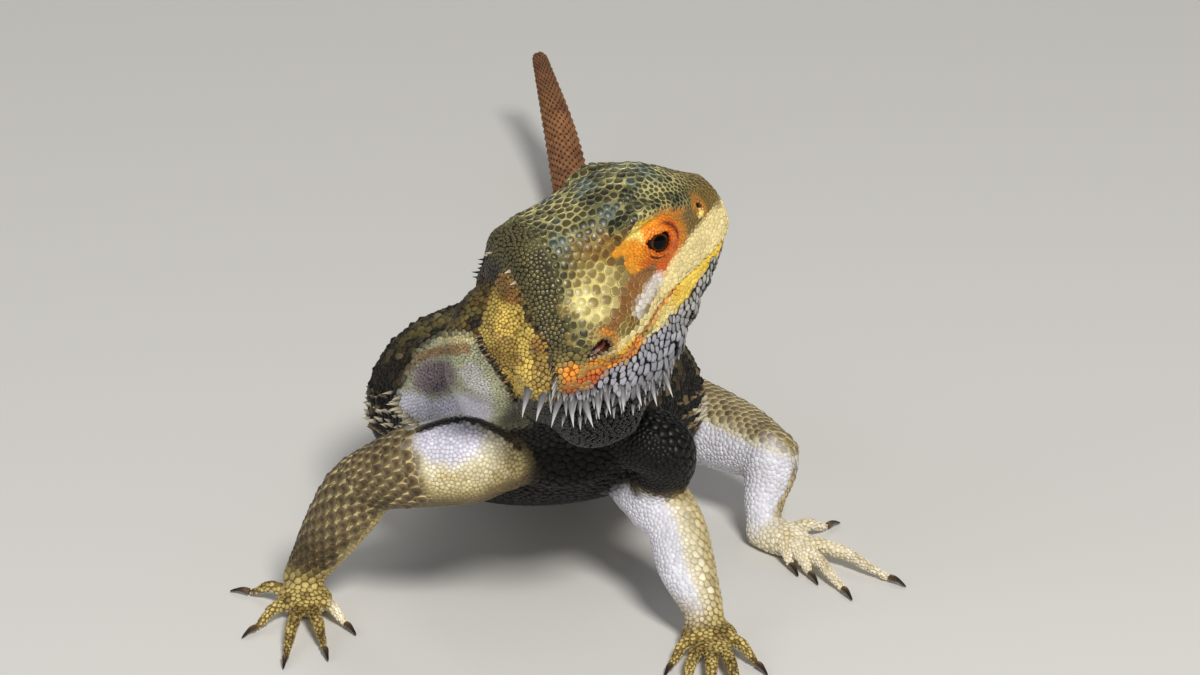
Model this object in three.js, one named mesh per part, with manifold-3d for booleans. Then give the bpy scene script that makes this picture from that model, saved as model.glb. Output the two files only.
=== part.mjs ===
// Bearded dragon (Pogona), life size, standing with the chest raised and the
// head turned to its left. Millimetres, +Z up, the animal faces -Y, so its own
// left side is on +X. Every piece of the body is a closed loft of super-elliptic
// sections along a spine curve. Neighbours are cut back from each other by a
// thin gap, and what stands on the floor is trimmed to a small flat.
import * as THREE from "three";
import { mergeVertices } from "three/addons/utils/BufferGeometryUtils.js";
import Module from "manifold-3d";

// ---------- driving dimensions ----------
const GAP = 0.3; // joint line between two pieces of the body
const EYE_R = 4.7; // eyeball
const EYE_POS = [22.3, 8.1, 8.4]; // eyeball centre in the head's frame, left side
const LID_OPENING = [2.3, 2]; // half-length and half-height between the lids
const EAR_POS = [1.9, 19.3, -3.3]; // middle of the ear opening in the head's frame
const EAR_SIZE = [2.9, 1.6, 2.1]; // half-length, depth, half-height of the opening
const SNOUT_X = 41; // ear line to the front of the upper jaw
const MOUTH_FRONT_Z = -2.3; // mouth line at the front
const MOUTH_BACK = [12, -6]; // corner of the mouth, x and z in the head's frame
const CLAW_LENGTH = 3.6;
const CLAW_R = 0.75;
const FINGER_R = [1.9, 1.65, 1.15]; // root, knuckle, tip
const TOE_R = [2.2, 1.8, 1.2];
const BEARD_SPINES = 5; // on each side of each of the two beard rows
const FRINGE_SPINES = 8; // along each flank
const SPINE_R = 0.85;

const wasm = await Module();
wasm.setup();
const V = (a) => new THREE.Vector3(a[0], a[1], a[2]);

// the head's frame: x towards the snout, y to its left, z to the crown
const HEAD_AT = [-11.3, -14.3, 80.3];
const HEAD_AXES = [[0.8704, 0.3868, 0.3045], [-0.4408, 0.8878, 0.132], [-0.2193, -0.2492, 0.9433]];
const headFrame = new THREE.Matrix4()
  .makeBasis(V(HEAD_AXES[0]), V(HEAD_AXES[1]), V(HEAD_AXES[2]))
  .setPosition(V(HEAD_AT));

// ---------- from a three.js geometry to a solid and back ----------
function solid(geometry) {
  const g = geometry.clone();
  g.deleteAttribute("normal");
  g.deleteAttribute("uv");
  const m = mergeVertices(g, 1e-4);
  const make = (flip) => {
    const t = new Uint32Array(m.index.array);
    if (flip)
      for (let i = 0; i < t.length; i += 3) [t[i + 1], t[i + 2]] = [t[i + 2], t[i + 1]];
    return new wasm.Manifold(
      new wasm.Mesh({ numProp: 3, vertProperties: new Float32Array(m.attributes.position.array), triVerts: t }),
    );
  };
  const s = make(false);
  return s.volume() < 0 ? make(true) : s;
}
function geometryOf(s) {
  const m = s.getMesh(), n = m.numProp;
  const p = new Float32Array(m.numVert * 3);
  for (let i = 0; i < m.numVert; i++) p.set(m.vertProperties.subarray(i * n, i * n + 3), i * 3);
  const g = new THREE.BufferGeometry();
  g.setAttribute("position", new THREE.BufferAttribute(p, 3));
  g.setIndex(new THREE.BufferAttribute(new Uint32Array(m.triVerts), 1));
  g.computeVertexNormals();
  return g;
}
const union = (list) => list.reduce((a, b) => a.add(b));
const largest = (s) => s.decompose().sort((a, b) => b.volume() - a.volume())[0];

// ---------- the loft ----------
// rows: [x, y, z, halfWidth, halfTop, halfBottom] along a spine curve;
// dorsal: the way the top faces; square: exponents of the top and bottom of the
// section; cap: how round the ends are; grow: extra on all sides, for clearances.
function loft(rows, { dorsal = [0, 0, 1], around = 12, per = 2, grow = 0, square = [2, 2], cap = [0.7, 0.7], capSteps = 2, frame = null } = {}) {
  const curve = (pick) => new THREE.CatmullRomCurve3(rows.map(pick), false, "catmullrom", 0.5);
  const centre = curve((r) => V(r));
  const size = curve((r) => new THREE.Vector3(r[3], r[4] ?? r[3], r[5] ?? r[4] ?? r[3]));
  const up = Array.isArray(dorsal[0]) ? curve((r, i) => V(dorsal[i])) : null;
  const steps = (rows.length - 1) * per;
  const ring = (t, end, k) => {
    const c = centre.getPoint(t), s = size.getPoint(t).addScalar(grow);
    const tangent = centre.getPoint(Math.min(1, t + 1e-3)).sub(centre.getPoint(Math.max(0, t - 1e-3))).normalize();
    const side = new THREE.Vector3().crossVectors(tangent, up ? up.getPoint(t) : V(dorsal)).normalize();
    const top = new THREE.Vector3().crossVectors(side, tangent);
    const a = (Math.PI / 2) * (k / (capSteps + 1));
    const reach = Math.min(s.x, s.y, s.z) * cap[end > 0 ? 1 : 0];
    c.addScaledVector(tangent, end * Math.sin(a) * reach);
    const pts = [];
    for (let j = 0; j < around; j++) {
      const b = (2 * Math.PI * j) / around, cb = Math.cos(b), sb = Math.sin(b);
      const e = sb >= 0 ? square[0] : square[1];
      const r = Math.cos(a) * (Math.abs(cb) ** e + Math.abs(sb) ** e) ** (-1 / e);
      pts.push(c.clone().addScaledVector(side, cb * r * s.x).addScaledVector(top, sb * r * (sb >= 0 ? s.y : s.z)));
    }
    return pts;
  };
  const poleOf = (t, end) => {
    const tangent = centre.getPoint(Math.min(1, t + 1e-3)).sub(centre.getPoint(Math.max(0, t - 1e-3))).normalize();
    const s = size.getPoint(t).addScalar(grow);
    return centre.getPoint(t).addScaledVector(tangent, end * Math.min(s.x, s.y, s.z) * cap[end > 0 ? 1 : 0]);
  };
  const rings = [];
  for (let k = capSteps; k > 0; k--) rings.push(ring(0, -1, k));
  for (let i = 0; i <= steps; i++) rings.push(ring(i / steps, 0, 0));
  for (let k = 1; k <= capSteps; k++) rings.push(ring(1, 1, k));
  const pos = [...rings.flat(), poleOf(0, -1), poleOf(1, 1)].flatMap((p) => [p.x, p.y, p.z]);
  const idx = [], first = rings.length * around, lastRing = (rings.length - 1) * around;
  for (let i = 0; i < rings.length - 1; i++)
    for (let k = 0; k < around; k++) {
      const a = i * around + k, b = i * around + ((k + 1) % around);
      idx.push(a, a + around, b, b, a + around, b + around);
    }
  for (let k = 0; k < around; k++) {
    const n = (k + 1) % around;
    idx.push(first, k, n, first + 1, lastRing + n, lastRing + k);
  }
  const g = new THREE.BufferGeometry();
  g.setAttribute("position", new THREE.Float32BufferAttribute(pos, 3));
  g.setIndex(idx);
  if (frame) g.applyMatrix4(frame);
  return solid(g);
}
// an ellipsoid with its poles on the y axis of its frame
function egg(p, r, { grow = 0, around = 12, frame = null } = {}) {
  const g = new THREE.SphereGeometry(1, around, Math.round(around * 0.6));
  g.scale(r[0] + grow, r[1] + grow, r[2] + grow);
  g.translate(p[0], p[1], p[2]);
  if (frame) g.applyMatrix4(frame);
  return solid(g);
}
// a cone that grows from its root along dir
function thorn(root, dir, length, radius, { sides = 4, grow = 0, frame = null } = {}) {
  const g = new THREE.ConeGeometry(radius + 1.6 * grow, length + 1 + 5 * grow, sides);
  g.translate(0, length / 2 - 0.5 + 1.5 * grow, 0);
  g.applyQuaternion(new THREE.Quaternion().setFromUnitVectors(new THREE.Vector3(0, 1, 0), V(dir).normalize()));
  g.translate(root[0], root[1], root[2]);
  if (frame) g.applyMatrix4(frame);
  return solid(g);
}
const mirrorY = (p) => [p[0], -p[1], p[2]];
const lerp = (a, b, t) => a.map((v, i) => v + (b[i] - v) * t);
const flatBox = (size, at, rot = null) => {
  const g = new THREE.BoxGeometry(...size);
  if (rot) g.applyMatrix4(rot);
  g.translate(...at);
  return solid(g);
};
const belowFloor = flatBox([900, 900, 60], [0, 100, -30]);

// ---------- trunk, neck and tail ----------
const TRUNK = [
  [-8, 8, 41, 14, 12, 10],
  [-8, 15, 40, 21, 17, 13],
  [-9, 25, 37.5, 27, 21.5, 16],
  [-12, 42, 33.5, 33.5, 24.5, 19],
  [-14, 60, 29, 36.5, 24.5, 18],
  [-14, 78, 25, 32, 21, 16],
  [-12.5, 94, 22, 23, 16, 14],
  [-12, 106, 20.5, 14, 12, 12],
];
const NECK = [
  [-8, 22, 44, 20, 15, 12],
  [-10, 9, 51, 19, 15, 10],
  [-14, -3, 61, 17, 14, 10.5],
  [-18, -11.5, 71, 15, 12, 11],
  [-14, -14.5, 78, 12.5, 11, 11],
];
const NECK_DORSAL = [[0, 0.35, 1], [-0.05, 0.75, 0.8], [-0.2, 0.8, 0.6], [-0.5, 0.6, 0.6], [-0.6, 0.1, 0.8]];
const TAIL = [
  [-12, 103, 21, 14, 11.6, 12],
  [-11.5, 118, 17.5, 11.5, 9.8, 10.2],
  [-10.5, 138, 13.2, 9.6, 8.6, 9],
  [-9, 160, 9.4, 8.2, 7.4, 8],
  [-7.4, 185, 7, 7, 6.4, 7.5],
  [-6, 212, 5.6, 6, 5.4, 6.3],
  [-5.6, 240, 5.9, 5.2, 4.7, 5.6],
  [-7.1, 268, 9, 4.8, 4.3, 4.3],
  [-10.5, 298, 15.6, 4.05, 3.7, 3.7],
  [-15.9, 327, 26.2, 2.2, 2.1, 2.1],
];
const TAIL_CUTS = [136, 192, 258]; // y of the cuts between the lengths of tail

// ---------- head ----------
// skull and upper jaw: narrow and flat-topped
const SKULL = [
  [-5.5, 0, 1, 12.4, 16.6, 8],
  [-1, 0, 0.5, 12.9, 17.8, 9],
  [6, 0, 0, 13, 18.7, 10],
  [13.5, 0, 0, 12.9, 19.5, 9],
  [20.5, 0, 0, 12.2, 20.2, 8],
  [27.5, 0, 0.4, 10.9, 19.2, 6],
  [33.5, 0, 1, 9, 15.2, 5],
  [SNOUT_X - 1.6, 0, 1.8, 6.2, 9.6, 3.8],
];
// the muscles of the jaw, widest at the ears
const CHEEK = [
  [-6, 0, -1, 15.6, 14, 12],
  [-1, 0, -2.5, 18.8, 14.5, 12],
  [5, 0, -3.5, 19.6, 14.5, 12],
  [12, 0, -4, 17.6, 14, 9],
  [20, 0, -3.5, 13.9, 11, 7],
  [28, 0, -2.8, 10.6, 7, 5],
  [34, 0, -2, 7.8, 4.4, 4],
  [SNOUT_X - 2.2, 0, -0.6, 5.2, 3, 2.6],
];
// lower jaw and the full beard
const BEARD = [
  [-11, 0, -8, 14.6, 5, 17],
  [-7, 0, -7.5, 17.2, 6, 24],
  [0, 0, -7, 18.4, 6, 29.5],
  [7.5, 0, -6, 17.6, 5, 29.5],
  [15, 0, -6, 15.2, 4, 25],
  [22, 0, -5.5, 12.4, 3, 17.5],
  [28.5, 0, -4.8, 9.9, 2.6, 10.8],
  [34, 0, -4, 7.4, 2.2, 5.8],
  [SNOUT_X - 3, 0, -3, 4.8, 1.6, 3.2],
];
const BEARD_RIM = [[-18, 17.2, -5], [-10.5, 18, -12.5], [1, 17, -19], [13, 13.5, -24], [21, 8, -20]];
const NAPE_ROW = [[-6.4, 8.5, 16.2], [-7.4, 12.4, 12.2], [-8, 15, 6], [-7.8, 16.4, -0.6]];

// ---------- limbs ----------
const ARMS = {
  R: {
    upper: [[-20, 4.5, 39.2, 7.8], [-25, 3, 39.3, 9.4], [-32, 3.8, 38.2, 9.6], [-40.5, 6.2, 35.4, 8.4], [-48, 9, 32, 6.8]],
    fore: [[-47, 8.6, 32.6, 6.2], [-50.6, 11, 28, 7.4], [-55.3, 13.6, 20, 6.7], [-59.8, 16.2, 12, 5.2], [-62.8, 17.3, 6.6, 4.3]],
    palm: [-62.3, 13.8, 3.15],
    roots: [[-57.6, 13.2, 3.3], [-60.2, 9.2, 3.3], [-63.8, 8.4, 3.3], [-66.6, 11.4, 3.3], [-67, 19.5, 3.3]],
    tips: [[-53.4, 5.4, 1.05], [-57.1, -7.6, 1.05], [-64.9, -11.6, 1.05], [-71.8, 3.6, 1.05], [-74, 22.6, 1.05]],
  },
  L: {
    upper: [[6.2, 9.6, 42, 7], [11.6, 6.8, 41, 7.3], [13.4, 9, 36.6, 6.7], [11.6, 13, 31, 6.4], [8.4, 18.4, 26.4, 5.8]],
    fore: [[7.6, 19.6, 26, 5.6], [11.4, 15.6, 25, 7], [15.6, 10, 21.6, 6.4], [17.9, 4, 15, 6.3], [21, -1.4, 8.6, 4.7], [21.6, -2.6, 6.6, 4.3]],
    palm: [22.6, -5.6, 3.15],
    roots: [[17.8, -5.9, 3.3], [19.9, -10.1, 3.3], [23.3, -10.9, 3.3], [26.4, -10, 3.3], [27.8, -5.5, 3.3]],
    tips: [[14.7, -16.2, 1.05], [17, -29, 1.05], [22.7, -34.2, 1.05], [28.5, -30.4, 1.05], [32.3, -15.6, 1.05]],
  },
};
const LEGS = {
  L: {
    thigh: [[0, 90, 21.5, 9.4], [12, 82, 20.6, 9.8], [22.5, 74, 19.6, 9.1], [31.2, 64.8, 19.2, 7.9], [37, 56.8, 19.2, 6.1]],
    shin: [[37.6, 56.4, 18.6, 5.8], [37, 56.2, 15.4, 5.8], [35.8, 54.8, 10.6, 5], [35.4, 52.4, 7, 4.1], [35.2, 51.4, 5, 3.6]],
    sole: [[35, 51.4, 3.4, 3.6], [38.4, 48.6, 3.2, 4.8, 4.3, 3.5], [41.6, 46.2, 3, 5, 4, 3.3]],
    roots: [[38.8, 44.6, 3.3], [41.4, 43.6, 3.3], [44.2, 43.8, 3.3], [46.2, 46.4, 3.3], [42.4, 51.2, 3.3]],
    tips: [[40.9, 38, 1.1], [44.9, 33.2, 1.1], [51.6, 24.6, 1.1], [61.6, 30.8, 1.1], [49.4, 59.6, 1.1]],
  },
  R: {
    thigh: [[-20, 90, 21.4, 9.6], [-28, 96, 21, 9.6], [-34.6, 105.5, 19.4, 8.4], [-39, 115, 17, 6.8]],
    shin: [[-39.2, 116.4, 16.4, 6.2], [-38.6, 122.6, 14.6, 6.6], [-37, 131.4, 10.4, 5.4], [-35.4, 139.6, 6.4, 4], [-34.8, 143, 4.8, 3.6]],
    sole: [[-34.6, 143.6, 3.4, 3.6], [-34, 148.6, 3.2, 4.6, 4.2, 3.5], [-33.4, 153, 3, 5, 4, 3.3]],
    roots: [[-30.4, 152.8, 3.3], [-31.4, 156, 3.3], [-33.6, 157.2, 3.3], [-35.8, 156.4, 3.3], [-37, 150.6, 3.3]],
    tips: [[-25.4, 162, 1.1], [-26.4, 169.8, 1.1], [-30.8, 179.2, 1.1], [-38.4, 182.4, 1.1], [-43.4, 161, 1.1]],
  },
};

const limb = (rows, opt = {}) => loft(rows, { around: 9, per: 1, cap: [0.9, 0.9], ...opt });
// a digit arches from its root over one knuckle to its tip
function digit(root, tip, radii, grow = 0) {
  const knuckle = lerp(root, tip, 0.52);
  knuckle[2] = Math.max(root[2], 2.6) + 0.25;
  return loft([[...root, radii[0]], [...knuckle, radii[1]], [...lerp(knuckle, tip, 0.5), (radii[1] + radii[2]) / 2], [...tip, radii[2]]],
    { around: 6, per: 1, capSteps: 1, cap: [0.8, 0.6], grow });
}
// a claw starts just past the tip and curves down to the floor
function claw(root, tip, radius) {
  const d = V(tip).sub(V(root)).setZ(0).normalize();
  const at = (s, z) => V(tip).addScaledVector(d, s).setZ(z);
  const start = radius * 0.6 + GAP + 0.45;
  const row = (s, z, r) => { const p = at(start + s, z); return [p.x, p.y, p.z, r]; };
  return loft([row(0, tip[2] + 0.15, CLAW_R), row(CLAW_LENGTH * 0.5, tip[2] + 0.1, CLAW_R * 0.66), row(CLAW_LENGTH, 0.55, 0.28)],
    { around: 5, per: 1, capSteps: 0, cap: [0.3, 0.6] });
}

// ---------- the pieces as first modelled, before the cuts ----------
const HEAD_OPT = { frame: headFrame, around: 12, per: 1 };
const headParts = (grow = 0) => [
  loft(SKULL, { ...HEAD_OPT, square: [2.6, 2], cap: [0.5, 0.75], grow }),
  loft(CHEEK, { ...HEAD_OPT, square: [2.1, 2.2], cap: [0.5, 0.75], grow }),
  loft(BEARD, { ...HEAD_OPT, square: [2, 2.15], cap: [0.6, 0.75], grow }),
];
const lids = [1, -1].map((s) => egg([22.3, s * 8.9, 8.6], [6.7, 4.6, 5.6], { around: 8, frame: headFrame }));
const brows = [1, -1].map((s) => loft(
  [[15, s * 11, 14.6, 1.8], [20, s * 10.6, 15.4, 2.4], [26, s * 9, 13.8, 2.2], [31.5, s * 7.2, 11, 1.6]],
  { frame: headFrame, around: 5, per: 1, capSteps: 1 }));
const neck = loft(NECK, { dorsal: NECK_DORSAL, around: 10, per: 2 });
const neckGrown = loft(NECK, { dorsal: NECK_DORSAL, around: 10, per: 2, grow: GAP });
const trunkShape = (grow = 0) => loft(TRUNK, { around: 14, per: 2, square: [2.3, 2.1], grow });
const tailShape = (grow = 0) => loft(TAIL, { around: 10, per: 2, grow });

// spines
const curveOf = (pts) => new THREE.CatmullRomCurve3(pts.map(V), false, "catmullrom", 0.5);
function beardSpines(grow = 0) {
  const list = [];
  for (const s of [1, -1]) {
    const rim = curveOf(BEARD_RIM.map((p) => [p[0], s * p[1], p[2]]));
    for (const row of [0, 1])
      for (let i = 0; i < BEARD_SPINES; i++) {
        const t = (i + 0.5 + row * 0.5) / (BEARD_SPINES + 0.5), p = rim.getPoint(t);
        const out = [-0.55 - 0.25 * (1 - t), s * (0.75 - 0.35 * t), -0.35 - 0.75 * t];
        p.add(new THREE.Vector3(0.8 - 4.2 * row * (1 - t), -s * (0.9 + row * 1.1), (row ? -4.4 : 1.1) * (0.4 + 0.6 * t)));
        const l = 5.6 - 1.2 * row - 1.6 * Math.abs(2 * t - 0.9);
        list.push(thorn([p.x, p.y, p.z], out, l, SPINE_R, { grow, frame: headFrame }));
      }
  }
  return list;
}
function napeSpines(grow = 0) {
  const list = [];
  for (const s of [1, -1]) {
    const row = curveOf(NAPE_ROW.map((p) => [p[0], s * p[1], p[2]]));
    for (let i = 0; i < 4; i++) {
      const p = row.getPoint((i + 0.4) / 3.8);
      list.push(thorn([p.x + 0.6, p.y, p.z], [-1, s * 0.45, 0.12], 3.4, SPINE_R, { grow, frame: headFrame }));
    }
  }
  return list;
}
// the fringe stands out from the widest line of the trunk, leaning back
function fringe(side, grow = 0) {
  const list = [];
  const rows = curveOf(TRUNK.map((r) => [r[0] + side * (r[3] - 0.7), r[1], r[2] - 1.5]));
  for (let i = 0; i < FRINGE_SPINES; i++) {
    const t = 0.24 + (0.66 * i) / (FRINGE_SPINES - 1), p = rows.getPoint(t);
    list.push(thorn([p.x, p.y, p.z], [side, 0.75, -0.1], 3.6, SPINE_R, { grow }));
  }
  return list;
}

// ---------- the body ----------
const pieces = {};
const paint = {};
const add = (name, s, colour, roughness = 0.75) => {
  pieces[name] = s;
  paint[name] = { color: colour, roughness, metalness: 0 };
};
const subtractAll = (s, cutters) => cutters.reduce((a, b) => a.subtract(b), s);

// head: sockets, ear pits, nostrils and the mouth line
const eyes = {}, ears = {};
const socketCuts = [];
for (const [name, s] of [["L", 1], ["R", -1]]) {
  const at = [EYE_POS[0], s * EYE_POS[1], EYE_POS[2]];
  eyes[name] = egg(at, [EYE_R, EYE_R, EYE_R], { around: 9, frame: headFrame });
  socketCuts.push(egg(at, [EYE_R, EYE_R, EYE_R], { around: 9, grow: GAP, frame: headFrame }));
  socketCuts.push(egg([at[0], s * (EYE_POS[1] + 5), at[2]], [LID_OPENING[0], 4, LID_OPENING[1]], { around: 8, frame: headFrame }));
  const ear = [EAR_POS[0], s * EAR_POS[1], EAR_POS[2]];
  socketCuts.push(egg(ear, [EAR_SIZE[0], EAR_SIZE[1] + 1.6, EAR_SIZE[2]], { around: 8, frame: headFrame }));
  ears[name] = egg([ear[0], s * (EAR_POS[1] - 2.05), ear[2]], [EAR_SIZE[0] - 0.9, 0.7, EAR_SIZE[2] - 0.75], { around: 8, frame: headFrame });
  socketCuts.push(egg([35.4, s * 7.6, 8], [1.1, 1.4, 0.9], { around: 6, frame: headFrame }));
}
const whole = union([...headParts(), ...lids, ...brows, ...beardSpines(), ...napeSpines()]);
const carved = subtractAll(whole, socketCuts);
const mouthSlope = (MOUTH_BACK[1] - MOUTH_FRONT_Z) / (MOUTH_BACK[0] - (SNOUT_X - 0.6));
const mouthAngle = -Math.atan(mouthSlope);
const slab = (thick, shift) => {
  const g = new THREE.BoxGeometry(160, 120, thick);
  g.translate(0, 0, shift);
  g.applyMatrix4(new THREE.Matrix4().makeRotationY(mouthAngle));
  g.translate(MOUTH_BACK[0], 0, MOUTH_BACK[1]);
  g.applyMatrix4(headFrame);
  return solid(g);
};
const above = slab(80, 40 + GAP / 2), below = slab(80, -40 - GAP / 2);
add("head", largest(carved.intersect(above)), 0x77704a);
add("lower_jaw", largest(carved.intersect(below)), 0x4b4a4a);
for (const s of ["L", "R"]) {
  add(`eye_${s}`, eyes[s], 0x8a4a12, 0.08);
  add(`ear_${s}`, ears[s], 0x3a1710, 0.6);
}
const headGrown = union([...headParts(GAP), ...beardSpines(GAP), ...napeSpines(GAP)]);

// neck, trunk and tail
const arms = {}, armGrown = [];
for (const s of ["R", "L"]) {
  arms[s] = { upper: limb(ARMS[s].upper), fore: limb(ARMS[s].fore) };
  armGrown.push(limb(ARMS[s].fore, { grow: GAP }));
}
add("neck", largest(neck.subtract(headGrown)), 0x8a7340);
const trunk = union([trunkShape(), ...fringe(1), ...fringe(-1)]);
const trunkBlock = union([trunkShape(GAP), ...fringe(1, GAP), ...fringe(-1, GAP)]);
const tailAll = tailShape();
const yBox = (y0, y1) => flatBox([400, y1 - y0, 300], [0, (y0 + y1) / 2, 100]);
const trunkEnd = 109;
add("trunk", largest(subtractAll(trunk.intersect(yBox(-60, trunkEnd)), [headGrown, neckGrown, ...armGrown])), 0x3d3328);
const stops = [trunkEnd, ...TAIL_CUTS, 420];
["tail_base", "tail_mid", "tail_end", "tail_tip"].forEach((name, i) => {
  const length = tailAll.intersect(yBox(stops[i] + (i ? GAP / 2 : GAP), stops[i + 1] - GAP / 2));
  add(name, largest(length.subtract(belowFloor)), 0x6a4438);
});

// arms and legs
const CLAWS = [];
for (const s of ["R", "L"]) {
  const a = ARMS[s];
  const hand = union([
    egg(a.palm, [6.2, 6, 3.6], { around: 7 }),
    ...a.roots.map((r, i) => digit(lerp(a.palm, r, 0.55), a.tips[i], FINGER_R)),
  ]);
  add(`upper_arm_${s}`, largest(subtractAll(arms[s].upper, [trunkBlock, neckGrown, headGrown, armGrown[s === "R" ? 0 : 1]])), 0xb9b2a8);
  add(`forearm_${s}`, arms[s].fore.subtract(belowFloor), 0x7a6850);
  add(`hand_${s}`, largest(hand.subtract(limb(a.fore, { grow: GAP })).subtract(belowFloor)), 0xa8904f);
  a.tips.forEach((t, i) => CLAWS.push([`claw_hand_${s}_${i + 1}`, claw(a.roots[i], t, FINGER_R[2])]));
  const l = LEGS[s];
  const shinGrown = limb(l.shin, { grow: GAP });
  const foot = union([
    limb(l.sole, { square: [2, 2.4] }),
    ...l.roots.map((r, i) => digit(lerp(l.sole[1].slice(0, 3), r, 0.5), l.tips[i], TOE_R)),
  ]);
  add(`thigh_${s}`, largest(subtractAll(limb(l.thigh), [trunkBlock, shinGrown, tailShape(GAP)])), 0x9a8a70);
  add(`shin_${s}`, limb(l.shin).subtract(belowFloor), 0xb59a63);
  add(`foot_${s}`, largest(foot.subtract(shinGrown).subtract(belowFloor)), 0xd9cbb0);
  l.tips.forEach((t, i) => CLAWS.push([`claw_foot_${s}_${i + 1}`, claw(l.roots[i], t, TOE_R[2])]));
}
for (const [name, s] of CLAWS) add(name, s, 0x3a2a1e, 0.35);

// ---------- the model, middle of its footprint box on the origin ----------
const dragon = new THREE.Group();
dragon.name = "bearded_dragon";
for (const [name, s] of Object.entries(pieces)) {
  const mesh = new THREE.Mesh(geometryOf(s), new THREE.MeshStandardMaterial(paint[name]));
  mesh.name = name;
  dragon.add(mesh);
}
const box = new THREE.Box3().setFromObject(dragon);
const mid = box.getCenter(new THREE.Vector3());
for (const m of dragon.children) m.geometry.translate(-mid.x, -mid.y, -box.min.z);
export default dragon;
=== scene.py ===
# Bearded dragon, life size: the looks. One skin made from the same lofts as the
# construction, thousands of solid scales over it, horny spines, eyes and claws.
# All sizes in the tables are millimetres in the modelling frame; the pieces are
# placed in the shared frame in metres.
import math
import time
import bpy
import bmesh
import numpy as np
import openvdb as vdb
from mathutils import Vector, Matrix
from mathutils.kdtree import KDTree
from mathutils.bvhtree import BVHTree


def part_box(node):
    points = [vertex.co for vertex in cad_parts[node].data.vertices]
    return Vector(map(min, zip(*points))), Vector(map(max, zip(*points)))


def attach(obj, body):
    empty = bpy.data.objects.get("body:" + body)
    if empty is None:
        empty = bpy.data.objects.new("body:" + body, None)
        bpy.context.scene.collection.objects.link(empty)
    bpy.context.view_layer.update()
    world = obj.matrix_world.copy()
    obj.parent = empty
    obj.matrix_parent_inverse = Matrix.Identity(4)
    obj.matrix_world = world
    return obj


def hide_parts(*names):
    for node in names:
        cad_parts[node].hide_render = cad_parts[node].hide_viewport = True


T0 = time.time()
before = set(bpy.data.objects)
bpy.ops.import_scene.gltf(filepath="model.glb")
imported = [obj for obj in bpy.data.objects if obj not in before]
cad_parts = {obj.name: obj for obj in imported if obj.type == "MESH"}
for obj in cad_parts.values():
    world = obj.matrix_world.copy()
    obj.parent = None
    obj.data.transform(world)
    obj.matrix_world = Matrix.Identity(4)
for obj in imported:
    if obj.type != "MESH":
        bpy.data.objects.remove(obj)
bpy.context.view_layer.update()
rng = np.random.RandomState(11)


def clock(what):
    print("[%6.1f s] %s" % (time.time() - T0, what), flush=True)


# ------------------------------------------------------------------ tables
EYE_R = 4.7
EYE_POS = np.array([22.3, 8.1, 8.4])
EAR_POS = np.array([1.9, 19.3, -3.3])
SNOUT_X = 41.0
MOUTH_BACK = (12.0, -6.0)
MOUTH_FRONT = (SNOUT_X - 0.6, -2.3)
COAT = 0.42  # the skin lies this deep inside the solids
HEAD_AT = np.array([-11.3, -14.3, 80.3])
HEAD_AXES = np.array([[0.8704, 0.3868, 0.3045], [-0.4408, 0.8878, 0.132], [-0.2193, -0.2492, 0.9433]])

TRUNK = [
    [-8, 8, 41, 14, 12, 10], [-8, 15, 40, 21, 17, 13], [-9, 25, 37.5, 27, 21.5, 16],
    [-12, 42, 33.5, 33.5, 24.5, 19], [-14, 60, 29, 36.5, 24.5, 18], [-14, 78, 25, 32, 21, 16],
    [-12.5, 94, 22, 23, 16, 14], [-12, 106, 20.5, 14, 12, 12]]
NECK = [
    [-8, 22, 44, 20, 15, 12], [-10, 9, 51, 19, 15, 10], [-14, -3, 61, 17, 14, 10.5],
    [-18, -11.5, 71, 15, 12, 11], [-14, -14.5, 78, 12.5, 11, 11]]
NECK_DORSAL = [[0, 0.35, 1], [-0.05, 0.75, 0.8], [-0.2, 0.8, 0.6], [-0.5, 0.6, 0.6], [-0.6, 0.1, 0.8]]
TAIL = [
    [-12, 103, 21, 14, 11.6, 12], [-11.5, 118, 17.5, 11.5, 9.8, 10.2], [-10.5, 138, 13.2, 9.6, 8.6, 9],
    [-9, 160, 9.4, 8.2, 7.4, 8], [-7.4, 185, 7, 7, 6.4, 7.5], [-6, 212, 5.6, 6, 5.4, 6.3],
    [-5.6, 240, 5.9, 5.2, 4.7, 5.6], [-7.1, 268, 9, 4.8, 4.3, 4.3], [-10.5, 298, 15.6, 4.05, 3.7, 3.7],
    [-15.9, 327, 26.2, 2.2, 2.1, 2.1]]
SKULL = [
    [-5.5, 0, 1, 12.4, 16.6, 8], [-1, 0, 0.5, 12.9, 17.8, 9], [6, 0, 0, 13, 18.7, 10],
    [13.5, 0, 0, 12.9, 19.5, 9], [20.5, 0, 0, 12.2, 20.2, 8], [27.5, 0, 0.4, 10.9, 19.2, 6],
    [33.5, 0, 1, 9, 15.2, 5], [SNOUT_X - 1.6, 0, 1.8, 6.2, 9.6, 3.8]]
CHEEK = [
    [-6, 0, -1, 15.6, 14, 12], [-1, 0, -2.5, 18.8, 14.5, 12], [5, 0, -3.5, 19.6, 14.5, 12],
    [12, 0, -4, 17.6, 14, 9], [20, 0, -3.5, 13.9, 11, 7], [28, 0, -2.8, 10.6, 7, 5],
    [34, 0, -2, 7.8, 4.4, 4], [SNOUT_X - 2.2, 0, -0.6, 5.2, 3, 2.6]]
BEARD = [
    [-11, 0, -8, 14.6, 5, 17], [-7, 0, -7.5, 17.2, 6, 24], [0, 0, -7, 18.4, 6, 29.5],
    [7.5, 0, -6, 17.6, 5, 29.5], [15, 0, -6, 15.2, 4, 25], [22, 0, -5.5, 12.4, 3, 17.5],
    [28.5, 0, -4.8, 9.9, 2.6, 10.8], [34, 0, -4, 7.4, 2.2, 5.8], [SNOUT_X - 3, 0, -3, 4.8, 1.6, 3.2]]
BEARD_RIM = [[-18, 17.2, -5], [-10.5, 18, -12.5], [1, 17, -19], [13, 13.5, -24], [21, 8, -20]]
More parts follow.
